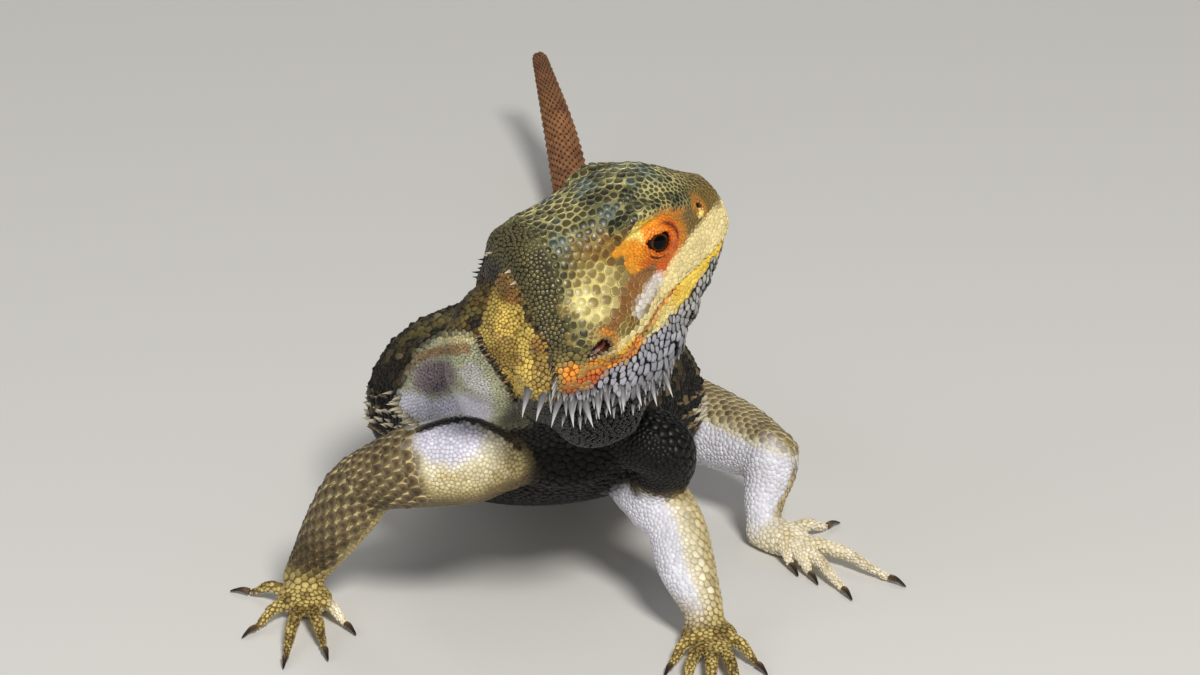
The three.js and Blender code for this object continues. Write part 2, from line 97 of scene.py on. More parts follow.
NAPE_ROW = [[-6.4, 8.5, 16.2], [-7.4, 12.4, 12.2], [-8, 15, 6], [-7.8, 16.4, -0.6]]
ARMS = {
    "R": {
        "upper": [[-20, 4.5, 39.2, 7.8], [-25, 3, 39.3, 9.4], [-32, 3.8, 38.2, 9.6], [-40.5, 6.2, 35.4, 8.4], [-48, 9, 32, 6.8]],
        "fore": [[-47, 8.6, 32.6, 6.2], [-50.6, 11, 28, 7.4], [-55.3, 13.6, 20, 6.7], [-59.8, 16.2, 12, 5.2], [-62.8, 17.3, 6.6, 4.3]],
        "palm": [-62.3, 13.8, 3.15],
        "roots": [[-57.6, 13.2, 3.3], [-60.2, 9.2, 3.3], [-63.8, 8.4, 3.3], [-66.6, 11.4, 3.3], [-67, 19.5, 3.3]],
        "tips": [[-53.4, 5.4, 1.05], [-57.1, -7.6, 1.05], [-64.9, -11.6, 1.05], [-71.8, 3.6, 1.05], [-74, 22.6, 1.05]]},
    "L": {
        "upper": [[6.2, 9.6, 42, 7], [11.6, 6.8, 41, 7.3], [13.4, 9, 36.6, 6.7], [11.6, 13, 31, 6.4], [8.4, 18.4, 26.4, 5.8]],
        "fore": [[7.6, 19.6, 26, 5.6], [11.4, 15.6, 25, 7], [15.6, 10, 21.6, 6.4], [17.9, 4, 15, 6.3], [21, -1.4, 8.6, 4.7], [21.6, -2.6, 6.6, 4.3]],
        "palm": [22.6, -5.6, 3.15],
        "roots": [[17.8, -5.9, 3.3], [19.9, -10.1, 3.3], [23.3, -10.9, 3.3], [26.4, -10, 3.3], [27.8, -5.5, 3.3]],
        "tips": [[14.7, -16.2, 1.05], [17, -29, 1.05], [22.7, -34.2, 1.05], [28.5, -30.4, 1.05], [32.3, -15.6, 1.05]]}}
LEGS = {
    "L": {
        "thigh": [[0, 90, 21.5, 9.4], [12, 82, 20.6, 9.8], [22.5, 74, 19.6, 9.1], [31.2, 64.8, 19.2, 7.9], [37, 56.8, 19.2, 6.1]],
        "shin": [[37.6, 56.4, 18.6, 5.8], [37, 56.2, 15.4, 5.8], [35.8, 54.8, 10.6, 5], [35.4, 52.4, 7, 4.1], [35.2, 51.4, 5, 3.6]],
        "sole": [[35, 51.4, 3.4, 3.6], [38.4, 48.6, 3.2, 4.8, 4.3, 3.5], [41.6, 46.2, 3, 5, 4, 3.3]],
        "roots": [[38.8, 44.6, 3.3], [41.4, 43.6, 3.3], [44.2, 43.8, 3.3], [46.2, 46.4, 3.3], [42.4, 51.2, 3.3]],
        "tips": [[40.9, 38, 1.1], [44.9, 33.2, 1.1], [51.6, 24.6, 1.1], [61.6, 30.8, 1.1], [49.4, 59.6, 1.1]]},
    "R": {
        "thigh": [[-20, 90, 21.4, 9.6], [-28, 96, 21, 9.6], [-34.6, 105.5, 19.4, 8.4], [-39, 115, 17, 6.8]],
        "shin": [[-39.2, 116.4, 16.4, 6.2], [-38.6, 122.6, 14.6, 6.6], [-37, 131.4, 10.4, 5.4], [-35.4, 139.6, 6.4, 4], [-34.8, 143, 4.8, 3.6]],
        "sole": [[-34.6, 143.6, 3.4, 3.6], [-34, 148.6, 3.2, 4.6, 4.2, 3.5], [-33.4, 153, 3, 5, 4, 3.3]],
        "roots": [[-30.4, 152.8, 3.3], [-31.4, 156, 3.3], [-33.6, 157.2, 3.3], [-35.8, 156.4, 3.3], [-37, 150.6, 3.3]],
        "tips": [[-25.4, 162, 1.1], [-26.4, 169.8, 1.1], [-30.8, 179.2, 1.1], [-38.4, 182.4, 1.1], [-43.4, 161, 1.1]]}}
FINGER_R = [1.9, 1.65, 1.15]
TOE_R = [2.2, 1.8, 1.2]

# the modelling frame to the shared frame: both know where the left eye is
lo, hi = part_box("eye_L")
SHIFT = (np.array(lo) + np.array(hi)) * 500.0 - (HEAD_AT + EYE_POS @ HEAD_AXES)


def to_m(p):
    return (np.asarray(p, float) + SHIFT) * 0.001


def head_to_world(h):
    return HEAD_AT + np.asarray(h, float) @ HEAD_AXES


def world_to_head(w):
    return (np.asarray(w, float) - HEAD_AT) @ HEAD_AXES.T


def hdir(d):
    return np.asarray(d, float) @ HEAD_AXES


def unit(v):
    v = np.asarray(v, float)
    return v / (np.linalg.norm(v, axis=-1, keepdims=True) + 1e-12)


def smoothstep(a, b, x):
    t = np.clip((x - a) / (b - a), 0, 1)
    return t * t * (3 - 2 * t)


def gauss(x, s):
    return np.exp(-(x / s) ** 2)


# ------------------------------------------------------------------ lofts
def catmull(points, t):
    P = np.asarray(points, float)
    n = len(P)
    p = (n - 1) * np.asarray(t, float)
    i = np.clip(np.floor(p).astype(int), 0, n - 2)
    w = (p - i)[:, None]
    first, last = 2 * P[0] - P[1], 2 * P[-1] - P[-2]
    E = np.vstack([first, P, last])
    a, b, c, d = E[i], E[i + 1], E[i + 2], E[i + 3]
    v0, v1 = (c - a) * 0.5, (d - b) * 0.5
    return (2 * b - 2 * c + v0 + v1) * w ** 3 + (-3 * b + 3 * c - 2 * v0 - v1) * w ** 2 + v0 * w + b


class Loft:
    """A closed loft of super-elliptic rings, sampled finely, as in the construction."""

    def __init__(self, name, rows, dorsal=(0, 0, 1), square=(2, 2), cap=(0.7, 0.7), head=False, zone=None, grow=0.0):
        self.name, self.head, self.zone = name, head, zone or name
        rows = [list(r) + [r[3]] * (6 - len(r)) if len(r) == 4 else list(r) for r in rows]
        self.rows = np.array([[r[0], r[1], r[2], r[3], r[4], r[5]] for r in rows], float)
        self.dorsal = np.array(dorsal, float)
        self.square, self.cap, self.grow = square, cap, grow

    def frames(self, t):
        t = np.asarray(t, float)
        c = catmull(self.rows[:, :3], t)
        s = catmull(self.rows[:, 3:6], t) + self.grow
        a = catmull(self.rows[:, :3], np.minimum(1, t + 1e-3)) - catmull(self.rows[:, :3], np.maximum(0, t - 1e-3))
        tangent = unit(a)
        up = catmull(self.dorsal, t) if self.dorsal.ndim == 2 else np.repeat(self.dorsal[None], len(t), 0)
        side = unit(np.cross(tangent, up))
        top = np.cross(side, tangent)
        return c, s, tangent, side, top

    def points(self, t, ang, end=0, k=0.0):
        """Surface points for arrays t, ang (same shape, 1-D); end and k bend into the caps."""
        c, s, tangent, side, top = self.frames(t)
        cb, sb = np.cos(ang), np.sin(ang)
        e = np.where(sb >= 0, self.square[0], self.square[1])
        r = (np.abs(cb) ** e + np.abs(sb) ** e) ** (-1 / e) * np.cos(k)
        if end:
            reach = s.min(1) * self.cap[0 if end < 0 else 1]
            c = c + tangent * (end * np.sin(k) * reach)[:, None]
        h = np.where(sb >= 0, s[:, 1], s[:, 2])
        p = c + side * (cb * r * s[:, 0])[:, None] + top * (sb * r * h)[:, None]
        return p, tangent

    def sample(self, step=1.0, around=None):
        """Rings of points with t, angle and tangent, caps included."""
        L = np.linalg.norm(np.diff(catmull(self.rows[:, :3], np.linspace(0, 1, 200)), axis=0), axis=1).sum()
        R = self.rows[:, 3:6].max()
        nt = max(6, int(L / step))
        na = around or max(10, int(2 * math.pi * R / step))
        ang = np.linspace(0, 2 * math.pi, na, endpoint=False)
        rings = []
        for kk in np.linspace(math.pi / 2 * 0.97, 0, 6)[:-1]:
            rings.append((0.0, -1, kk))
        for tt in np.linspace(0, 1, nt):
            rings.append((tt, 0, 0.0))
        for kk in np.linspace(0, math.pi / 2 * 0.97, 6)[1:]:
            rings.append((1.0, 1, kk))
        P, TT, AA, TAN = [], [], [], []
        for tt, end, kk in rings:
            p, tan = self.points(np.full(na, tt), ang, end, kk)
            P.append(p); TT.append(np.full(na, tt)); AA.append(ang); TAN.append(tan)
        P = np.array(P)
        if self.head:
            P = head_to_world(P.reshape(-1, 3)).reshape(P.shape)
            TAN = [hdir(x) for x in TAN]
        return P, np.array(TT), np.array(AA), np.array(TAN)

    def mesh(self, step=1.0, around=None):
        P = self.sample(step, around)[0]
        nr, na = P.shape[:2]
        v = P.reshape(-1, 3)
        i, k = np.meshgrid(np.arange(nr - 1), np.arange(na), indexing="ij")
        n = (k + 1) % na
        q = np.stack([i * na + k, i * na + n, (i + 1) * na + n, (i + 1) * na + k], -1).reshape(-1, 4)
        tips = np.array([P[0].mean(0), P[-1].mean(0)])
        v = np.vstack([v, tips])
        m = np.arange(na)
        n1 = (m + 1) % na
        t0 = np.stack([np.full(na, len(v) - 2), n1, m], -1)
        base = (nr - 1) * na
        t1 = np.stack([np.full(na, len(v) - 1), base + m, base + n1], -1)
        return v.astype(np.float32), q.astype(np.uint32), np.vstack([t0, t1]).astype(np.uint32)


class Egg:
    def __init__(self, name, centre, radii, zone, head=False, axis=1):
        self.name, self.zone, self.head = name, zone, head
        self.c, self.r = np.array(centre, float), np.array(radii, float)

    def sample(self, step=1.0, around=None):
        n = max(10, int(2 * math.pi * self.r.max() / step))
        m = max(6, n // 2)
        ph = np.linspace(0.04, math.pi - 0.04, m)
        th = np.linspace(0, 2 * math.pi, n, endpoint=False)
        A, B = np.meshgrid(ph, th, indexing="ij")
        P = np.stack([np.sin(A) * np.cos(B), np.cos(A), np.sin(A) * np.sin(B)], -1) * self.r + self.c
        if self.head:
            P = head_to_world(P.reshape(-1, 3)).reshape(P.shape)
        return P, A / math.pi, B, np.zeros_like(P)

    mesh = Loft.mesh


def lerp(a, b, t):
    return [x + (y - x) * t for x, y in zip(a, b)]


def digit_rows(root, tip, radii):
    kn = lerp(root, tip, 0.52)
    kn[2] = max(root[2], 2.6) + 0.25
    return [[*root, radii[0]], [*kn, radii[1]], [*lerp(kn, tip, 0.5), (radii[1] + radii[2]) / 2], [*tip, radii[2]]]


def smooth_rows(rows, n):
    """Gives the rows back unchanged."""
    return rows


parts = []  # (shape, blend radius)
parts.append((Loft("trunk", TRUNK, square=(2.3, 2.1)), 0.0))
parts.append((Loft("tail", TAIL), 3.0))
parts.append((Loft("neck", NECK, dorsal=NECK_DORSAL), 8.0))
for s in ("R", "L"):
    a = ARMS[s]
    parts.append((Loft("upper_arm_" + s, a["upper"], cap=(0.9, 0.9)), 3.2 if s == "R" else 2.6))
    parts.append((Loft("forearm_" + s, a["fore"], cap=(0.9, 0.9)), 1.6))
    parts.append((Egg("palm_" + s, a["palm"], [6.2, 6, 3.6], "hand_" + s), 1.6))
    for i, (r, t) in enumerate(zip(a["roots"], a["tips"])):
        parts.append((Loft("finger_%s_%d" % (s, i + 1), digit_rows(lerp(a["palm"], r, 0.55), t, FINGER_R), cap=(0.8, 0.6), zone="hand_" + s), 1.0))
    l = LEGS[s]
    parts.append((Loft("thigh_" + s, l["thigh"], cap=(0.9, 0.9)), 3.2))
    parts.append((Loft("shin_" + s, l["shin"], cap=(0.9, 0.9)), 1.6))
    parts.append((Loft("sole_" + s, l["sole"], cap=(0.9, 0.9), square=(2, 2.4), zone="foot_" + s), 1.4))
    for i, (r, t) in enumerate(zip(l["roots"], l["tips"])):
        parts.append((Loft("toe_%s_%d" % (s, i + 1), digit_rows(lerp(l["sole"][1][:3], r, 0.5), t, TOE_R), cap=(0.8, 0.6), zone="foot_" + s), 1.0))
head_parts = [
    (Loft("skull", SKULL, square=(2.6, 2), cap=(0.5, 0.75), head=True, zone="head"), 0.0),
    (Loft("cheek", CHEEK, square=(2.1, 2.2), cap=(0.5, 0.75), head=True, zone="head"), 2.4),
    (Loft("beard", BEARD, square=(2, 2.15), cap=(0.6, 0.75), head=True, zone="head"), 1.6)]
for s in (1, -1):
    head_parts.append((Egg("lid", [22.3, s * 8.9, 8.6], [6.7, 4.6, 5.6], "head", head=True), 1.0))
    head_parts.append((Loft("brow", [[15, s * 11, 14.6, 1.8], [20, s * 10.6, 15.4, 2.4], [26, s * 9, 13.8, 2.2], [31.5, s * 7.2, 11, 1.6]], zone="head", head=True), 1.8))

# ------------------------------------------------------------------ the skin
H = 0.75  # voxel, mm
BAND = 9
FAR = BAND * H


def level(shape, step, h=H, band=BAND):
    v, q, t = shape.mesh(step)
    g = vdb.FloatGrid.createLevelSetFromPolygons(v, triangles=t, quads=q, transform=vdb.createLinearTransform(voxelSize=h), halfWidth=float(band))
    a = np.floor(v.min(0) / h).astype(int) - band - 1
    b = np.ceil(v.max(0) / h).astype(int) + band + 2
    arr = np.full(tuple(b - a), band * h, np.float32)
    g.copyToArray(arr, ijk=tuple(int(x) for x in a))
    return arr, a, b


def smin(a, b, k):
    if k <= 0:
        return np.minimum(a, b)
    d = np.maximum(k - np.abs(a - b), 0)
    d[(a >= FAR - 0.01) | (b >= FAR - 0.01)] = 0
    return np.minimum(a, b) - d * d / (4 * k)


def build_skin():
    lo = np.array([-84, -50, -8.0])
    hi = np.array([76, 340, 108.0])
    base = np.floor(lo / H).astype(int)
    G = np.full(tuple((np.ceil(hi / H).astype(int) - base)), FAR, np.float32)

    def put(target, tbase, arr, a, k):
        lo_i = np.maximum(a - tbase, 0)
        hi_i = np.minimum(a - tbase + np.array(arr.shape), np.array(target.shape))
        off = lo_i - (a - tbase)
        s = tuple(slice(l, h) for l, h in zip(lo_i, hi_i))
        r = tuple(slice(o, o + (h - l)) for o, l, h in zip(off, lo_i, hi_i))
        target[s] = smin(target[s], arr[r], k)

    # the head by itself first, so that it joins the neck with a crease behind the jaw
    hb0 = np.floor(np.array([-45, -55, 30.0]) / H).astype(int)
    hb1 = np.ceil(np.array([50, 35, 112.0]) / H).astype(int)
    HG = np.full(tuple(hb1 - hb0), FAR, np.float32)
    for shape, k in head_parts:
        arr, a, b = level(shape, 0.8)
        put(HG, hb0, arr, a, k)
    for shape, k in parts:
        arr, a, b = level(shape, 1.0)
        put(G, base, arr, a, k)
    # the neck runs softly into the shoulders
    b0, b1 = np.array([-50, -32, 43.0]), np.array([26, 42, 77.0])
    s0, s1 = np.floor(b0 / H).astype(int) - base, np.ceil(b1 / H).astype(int) - base
    sub = G[tuple(slice(l, h) for l, h in zip(s0, s1))]
    soft_ = sub.copy()
    for _ in range(14):
        for ax in range(3):
            soft_ = 0.25 * np.roll(soft_, 1, ax) + 0.5 * soft_ + 0.25 * np.roll(soft_, -1, ax)
    w_ = 1.0
    for ax in range(3):
        t_ = np.arange(sub.shape[ax]) * H
        e_ = smoothstep(1.5, 7.0, np.minimum(t_, t_[-1] - t_))
        w_ = w_ * e_.reshape([-1 if k == ax else 1 for k in range(3)])
    sub += ((soft_ - sub) * w_).astype(np.float32)
    put(G, base, HG, hb0, 1.3)
    clock("level sets")
    # the floor: what lies on it is flat there
    z = (np.arange(G.shape[2]) + base[2]) * H
    G = np.maximum(G, (-z - COAT + 0.0)[None, None, :].astype(np.float32))
    grid = vdb.FloatGrid()
    grid.transform = vdb.createLinearTransform(voxelSize=H)
    grid.background = FAR
    grid.copyFromArray(G, ijk=tuple(int(x) for x in base))
    v, q = grid.convertToQuads(-COAT)
    clock("meshed %d points %d quads" % (len(v), len(q)))
    return v.astype(float), q.astype(int)


skin_v, skin_q = build_skin()


# ------------------------------------------------------------------ relief of the face, in the head's frame
OPENING = np.array([[-2.75, 1.15], [-1.3, 1.75], [0.6, 1.85], [2.3, 1.45], [2.2, -0.3], [1.4, -1.85], [-0.2, -2.2], [-1.75, -0.8]])
OPEN_A = np.arctan2(OPENING[:, 1], OPENING[:, 0])
OPEN_R = np.hypot(OPENING[:, 0], OPENING[:, 1])
o_ = np.argsort(OPEN_A)
OPEN_A, OPEN_R = OPEN_A[o_], OPEN_R[o_]
EYE_OPEN = (22.5, 9.0)  # middle of the opening between the lids, x and z
RING = (22.4, 8.1, 5.3)  # middle and radius of the ring of lids
EAR = (2.2, -3.8, 0.42)  # middle of the ear and its slant
NOSTRIL = (34.6, 8.9)


def mouth_z(x):
    return np.interp(x, [11, 14.6, 18.5, 21.6, 26.7, 31, 36.5, 40.6], [-6.4, -5.2, -4.0, -3.4, -2.8, -2.5, -2.3, -2.2])


def rim_z(x):  # the line of the big spines, with the black throat below it
    return np.interp(x, [-18, -8, 1, 9, 18, 26, 36], [-14.5, -15, -17, -20.5, -23.5, -20, -9])


def beard_z(x):  # where the grey rhombs of the beard begin
    return np.interp(x, [-8, -4, 0, 3, 11, 17.4, 22.8, 26.7, 33.6, 40], [-11.8, -12.2, -11.4, -10.2, -10.0, -8.8, -8.4, -7.3, -4.4, -3.3])


def opening_q(x, z):
    a, b = x - EYE_OPEN[0], z - EYE_OPEN[1]
    r = np.hypot(a, b)
    f = np.arctan2(b, a)
    lim = np.interp(f, np.r_[OPEN_A - 2 * np.pi, OPEN_A, OPEN_A + 2 * np.pi], np.r_[OPEN_R, OPEN_R, OPEN_R])
    return r - lim


def ring_polar(x, z):
    a, b = x - RING[0], z - RING[1]
    return np.hypot(a, b), np.degrees(np.arctan2(b, a))


def seg_dist(x, z, x0, z0, x1, z1):
    dx, dz = x1 - x0, z1 - z0
    t = np.clip(((x - x0) * dx + (z - z0) * dz) / (dx * dx + dz * dz), 0, 1)
    return np.hypot(x - x0 - t * dx, z - z0 - t * dz)


def ear_q(x, z):
    c, s = math.cos(EAR[2]), math.sin(EAR[2])
    u, v = (x - EAR[0]) * c + (z - EAR[1]) * s, -(x - EAR[0]) * s + (z - EAR[1]) * c
    return np.hypot(u / 2.75, v / (1.62 + 0.26 * u))


def nostril_q(x, z):
    u, v = x - NOSTRIL[0], z - NOSTRIL[1]
    return np.hypot((u + 0.25 * v) / 0.6, v / 0.95)


def head_relief(h, nh):
    """Displacement along the normal and, for the pits, straight into the head, in mm."""
    x, y, z = h[:, 0], np.abs(h[:, 1]), h[:, 2]
    side = smoothstep(0.25, 0.6, np.abs(nh[:, 1]))
    d = np.zeros(len(h))
    # lids
    rr, fi = ring_polar(x, z)
    on = smoothstep(8.5, 6.5, rr) * (y > 5)
    q = opening_q(x, z)
    lids = smoothstep(6.3, 5.0, rr) * on
    for r0, k in ((2.75, 0.10), (3.5, 0.13), (4.25, 0.12)):
        d -= lids * k * gauss(rr - r0 - 0.12 * np.sin(np.radians(3 * fi + 40 * r0)), 0.16)
    d -= on * 0.30 * gauss(rr - 5.75, 0.5)
    d += lids * 0.30 * np.clip(1 - (rr / 5.2) ** 2, 0, 1)
    front_arc = smoothstep(-25, 5, fi) * smoothstep(75, 45, fi)
    d -= on * 0.36 * front_arc * gauss(rr - 4.75, 0.24)
    low_arc = smoothstep(-165, -140, fi) * smoothstep(-70, -95, fi)
    d -= on * 0.42 * low_arc * gauss(q - 1.35, 0.24)
    d += on * 0.20 * gauss(q - 0.42, 0.30)
    pit = on * smoothstep(0.0, -0.35, q) * 4.6
    # nostril
    qn = nostril_q(x, z)
    near = (y > 3.5) & (x > 30)
    d += near * (0.34 * gauss(qn - 1.75, 0.55))
    d -= near * 1.5 * smoothstep(1.15, 0.4, qn)
    # ear: a slanted hole with a low rim
    qe = ear_q(x, z)
    ear_side = (y > 12)
    pit += ear_side * 2.3 * smoothstep(1.05, 0.78, qe)
    d += ear_side * 0.22 * gauss(qe - 1.28, 0.2)
    # mouth
    dm = z - mouth_z(x)
    m = smoothstep(10.5, 13.5, x)
    d -= m * 0.62 * gauss(dm, 0.28)
    d += m * 0.20 * gauss(dm - 0.85, 0.5) + m * 0.12 * gauss(dm + 0.8, 0.5)
    # skin folds from the corner of the mouth to below the ear
    for k, off in enumerate((0.0, 1.3, 2.5)):
        dist = seg_dist(x, z, 15.5, -6.6 - off, 2.0, -8.2 - 0.6 * off)
        d -= side * 0.26 * gauss(dist, 0.26) * (y > 8)
    # crease in front of the eye, under the brow
    d -= side * 0.25 * gauss(seg_dist(x, z, 27.5, 10.2, 33, 7.2), 0.45)
    # crevice behind the rear edge of the head, and the round lobe of skin in it
    lateral = smoothstep(5, 9, y) * smoothstep(17.5, 14, z) * smoothstep(-9, -5, z)
    d -= lateral * 0.9 * gauss(x + 9.2, 1.3)
    d += 1.1 * np.exp(-(((x + 8.6) / 2.2) ** 2 + ((z - 1.5) / 3.2) ** 2)) * (y > 9)
    return d, pit


def neck_relief(p, n):
    """Loose folds across the side of the neck, and the skin behind the jaw."""
    d = np.zeros(len(p))
    u = p[:, 1] * 0.62 + p[:, 2] * 0.78  # along the neck, from the chest to the nape
    wave = np.sin(u * 0.95 + 0.5 * np.sin(p[:, 0] * 0.35) + 0.25 * np.sin(p[:, 2] * 0.5))
    zone = smoothstep(14, 6, p[:, 1]) * smoothstep(50, 58, p[:, 2]) * smoothstep(84, 76, p[:, 2])
    d += 0.32 * wave * zone * smoothstep(0.8, 0.4, n[:, 2])
    return d


# refine the skin round the eyes, nostrils, mouth and ears, then carve them
def refine(v, q):
    me = bpy.data.meshes.new("skin_work")
    me.from_pydata(v.tolist(), [], q.tolist())
    bm = bmesh.new()
    bm.from_mesh(me)
    bpy.data.meshes.remove(me)
    for level_ in range(2):
        bm.verts.ensure_lookup_table()
        P = np.array([w.co[:] for w in bm.verts])
        h = world_to_head(P)
        x, y, z = h[:, 0], np.abs(h[:, 1]), h[:, 2]
        inhead = (x > -12) & (x < 43) & (z > -14) & (z < 20)
        rr, _ = ring_polar(x, z)
        if level_ == 0:
            sel = inhead & (((rr < 8.0) & (y > 5)) | ((np.abs(z - mouth_z(x)) < 1.8) & (x > 9)) | ((ear_q(x, z) < 1.9) & (y > 12)) | ((nostril_q(x, z) < 3.6) & (y > 3)))
        else:
            sel = inhead & (((rr < 5.6) & (y > 6)) | ((nostril_q(x, z) < 2.6) & (y > 3)) | ((np.abs(z - mouth_z(x)) < 0.8) & (x > 24)))
        edges = [e for e in bm.edges if sel[e.verts[0].index] and sel[e.verts[1].index]]
        n0 = len(bm.verts)
        bmesh.ops.subdivide_edges(bm, edges=edges, cuts=1, use_grid_fill=True)
        bm.verts.ensure_lookup_table()
        soft = [w for w in bm.verts if w.index >= n0 or (w.index < n0 and sel[w.index])]
        for _ in range(2):
            bmesh.ops.smooth_vert(bm, verts=soft, factor=0.4, use_axis_x=True, use_axis_y=True, use_axis_z=True)
    me = bpy.data.meshes.new("skin")
    bm.to_mesh(me)
    bm.free()
    return me


skin_me = refine(skin_v, skin_q)
clock("refined to %d verts" % len(skin_me.vertices))


def mesh_arrays(me):
    P = np.empty(len(me.vertices) * 3)
    me.vertices.foreach_get("co", P)
    N = np.empty(len(me.vertices) * 3)
    me.vertex_normals.foreach_get("vector", N)
    return P.reshape(-1, 3), N.reshape(-1, 3)


P, N = mesh_arrays(skin_me)
H_ = world_to_head(P)
NH = N @ HEAD_AXES.T
in_head = (H_[:, 0] > -13) & (H_[:, 2] > -16) & (P[:, 1] < 14) & (P[:, 2] > 60)
d, pit = head_relief(H_, NH)
d = np.where(in_head, d, 0.0) + neck_relief(P, N)
pit = np.where(in_head, pit, 0.0)
inward = np.where(H_[:, 1] > 0, -1.0, 1.0)[:, None] * HEAD_AXES[1][None]
NEW = P + N * d[:, None] + inward * pit[:, None]
skin_me.vertices.foreach_set("co", NEW.ravel())
skin_me.update()
P, N = mesh_arrays(skin_me)
pit_mask = pit > 0.5

# edges of the skin as arrays, for smoothing values over it
ne = len(skin_me.edges)
EDG = np.empty(ne * 2, np.int64)
skin_me.edges.foreach_get("vertices", EDG)
EDG = EDG.reshape(-1, 2)
src = np.r_[EDG[:, 0], EDG[:, 1]]
dst = np.r_[EDG[:, 1], EDG[:, 0]]
o_ = np.argsort(src, kind="stable")
src, dst = src[o_], dst[o_]
starts = np.searchsorted(src, np.arange(len(P)))
deg = np.bincount(src, minlength=len(P))


def diffuse(W, rounds):
    for _ in range(rounds):
        s = np.add.reduceat(W[dst], np.minimum(starts, len(dst) - 1), axis=0)
        W = (W + s) / (1 + deg)[:, None]
    return W


clock("relief")

# ------------------------------------------------------------------ which part the skin belongs to, and how its scales lie
ZONES = ["head", "neck", "trunk", "tail", "upper_arm_R", "forearm_R", "hand_R", "upper_arm_L", "forearm_L", "hand_L",
         "thigh_R", "shin_R", "foot_R", "thigh_L", "shin_L", "foot_L"]
ZI = {n: i for i, n in enumerate(ZONES)}
SP, ST, SA, SD, SZ, SN = [], [], [], [], [], []
all_parts = [s for s, _ in parts] + [s for s, _ in head_parts]
for pi, shape in enumerate(all_parts):
    pp, tt, aa, tan = shape.sample(1.3)
    pp, tt, aa, tan = pp.reshape(-1, 3), tt.ravel(), aa.ravel(), tan.reshape(-1, 3)
    zn = shape.zone if shape.zone in ZI else shape.name
    if zn.startswith("hand") and isinstance(shape, Egg):
        tips = np.array(ARMS[zn[-1]]["tips"])
        tan = np.repeat(unit(tips.mean(0) - shape.c)[None], len(pp), 0)
    if zn == "neck":
        tan = -tan
    SP.append(pp); ST.append(tt); SA.append(aa); SD.append(tan)
    SZ.append(np.full(len(pp), ZI[zn])); SN.append(np.full(len(pp), pi))
SP, ST, SA, SD, SZ, SN = (np.concatenate(x) for x in (SP, ST, SA, SD, SZ, SN))
tree = KDTree(len(SP))
for i, c in enumerate(SP.tolist()):
    tree.insert(c, i)
tree.balance()
own = np.array([tree.find(c)[1] for c in P.tolist()])
W = np.zeros((len(P), len(ZONES)), np.float32)
W[np.arange(len(P)), SZ[own]] = 1
W = diffuse(W, 7)
flow = np.array(SD[own])
hz = SZ[own] == ZI["head"]
Hh = world_to_head(P)
# on the head the free edges point back over the crown, and back and down on the cheek and beard
down = smoothstep(4, -14, Hh[:, 2])[:, None]
fl_head = hdir(unit(np.c_[-np.ones(len(P)), np.zeros(len(P)), np.zeros(len(P))] + down * np.array([[0.35, 0, -0.9]])))
under = smoothstep(0.3, 0.75, -(N @ HEAD_AXES.T)[:, 2])[:, None]
fl_head = unit(fl_head * (1 - under) + under * hdir([-1.0, 0, 0])[None])
flow = np.where(hz[:, None], fl_head, flow)
flow = diffuse(np.where(np.linalg.norm(flow, axis=1, keepdims=True) > 0.1, flow, np.array([[0, 1.0, 0]])), 5)
flow = unit(flow - N * (flow * N).sum(1, keepdims=True))
clock("zones")


# ------------------------------------------------------------------ colours, as functions of the place
def lin(r, g, b):
    c = np.array([r, g, b], float) / 255.0
    return np.where(c <= 0.04045, c / 12.92, ((c + 0.055) / 1.055) ** 2.4)


def mix(a, b, w):
    w = np.clip(w, 0, 1)[:, None]
    return a * (1 - w) + np.asarray(b) * w


def noise3(p, scale, seed):
    """Smooth value noise, 0 to 1, from the place alone."""
    q = np.asarray(p) * scale + seed * 17.3
    i = np.floor(q).astype(np.int64)
    f = q - i
    f = f * f * (3 - 2 * f)
    out = np.zeros(len(q))
    for dx in (0, 1):
        for dy in (0, 1):
            for dz in (0, 1):
                k = (i[:, 0] + dx) * 73856093 ^ (i[:, 1] + dy) * 19349663 ^ (i[:, 2] + dz) * 83492791 ^ (seed * 2654435)
                k = (k ^ (k >> 13)) * 1274126177
                r = ((k ^ (k >> 16)) & 0xFFFF) / 65535.0
                w = (f[:, 0] if dx else 1 - f[:, 0]) * (f[:, 1] if dy else 1 - f[:, 1]) * (f[:, 2] if dz else 1 - f[:, 2])
                out += r * w
    return out


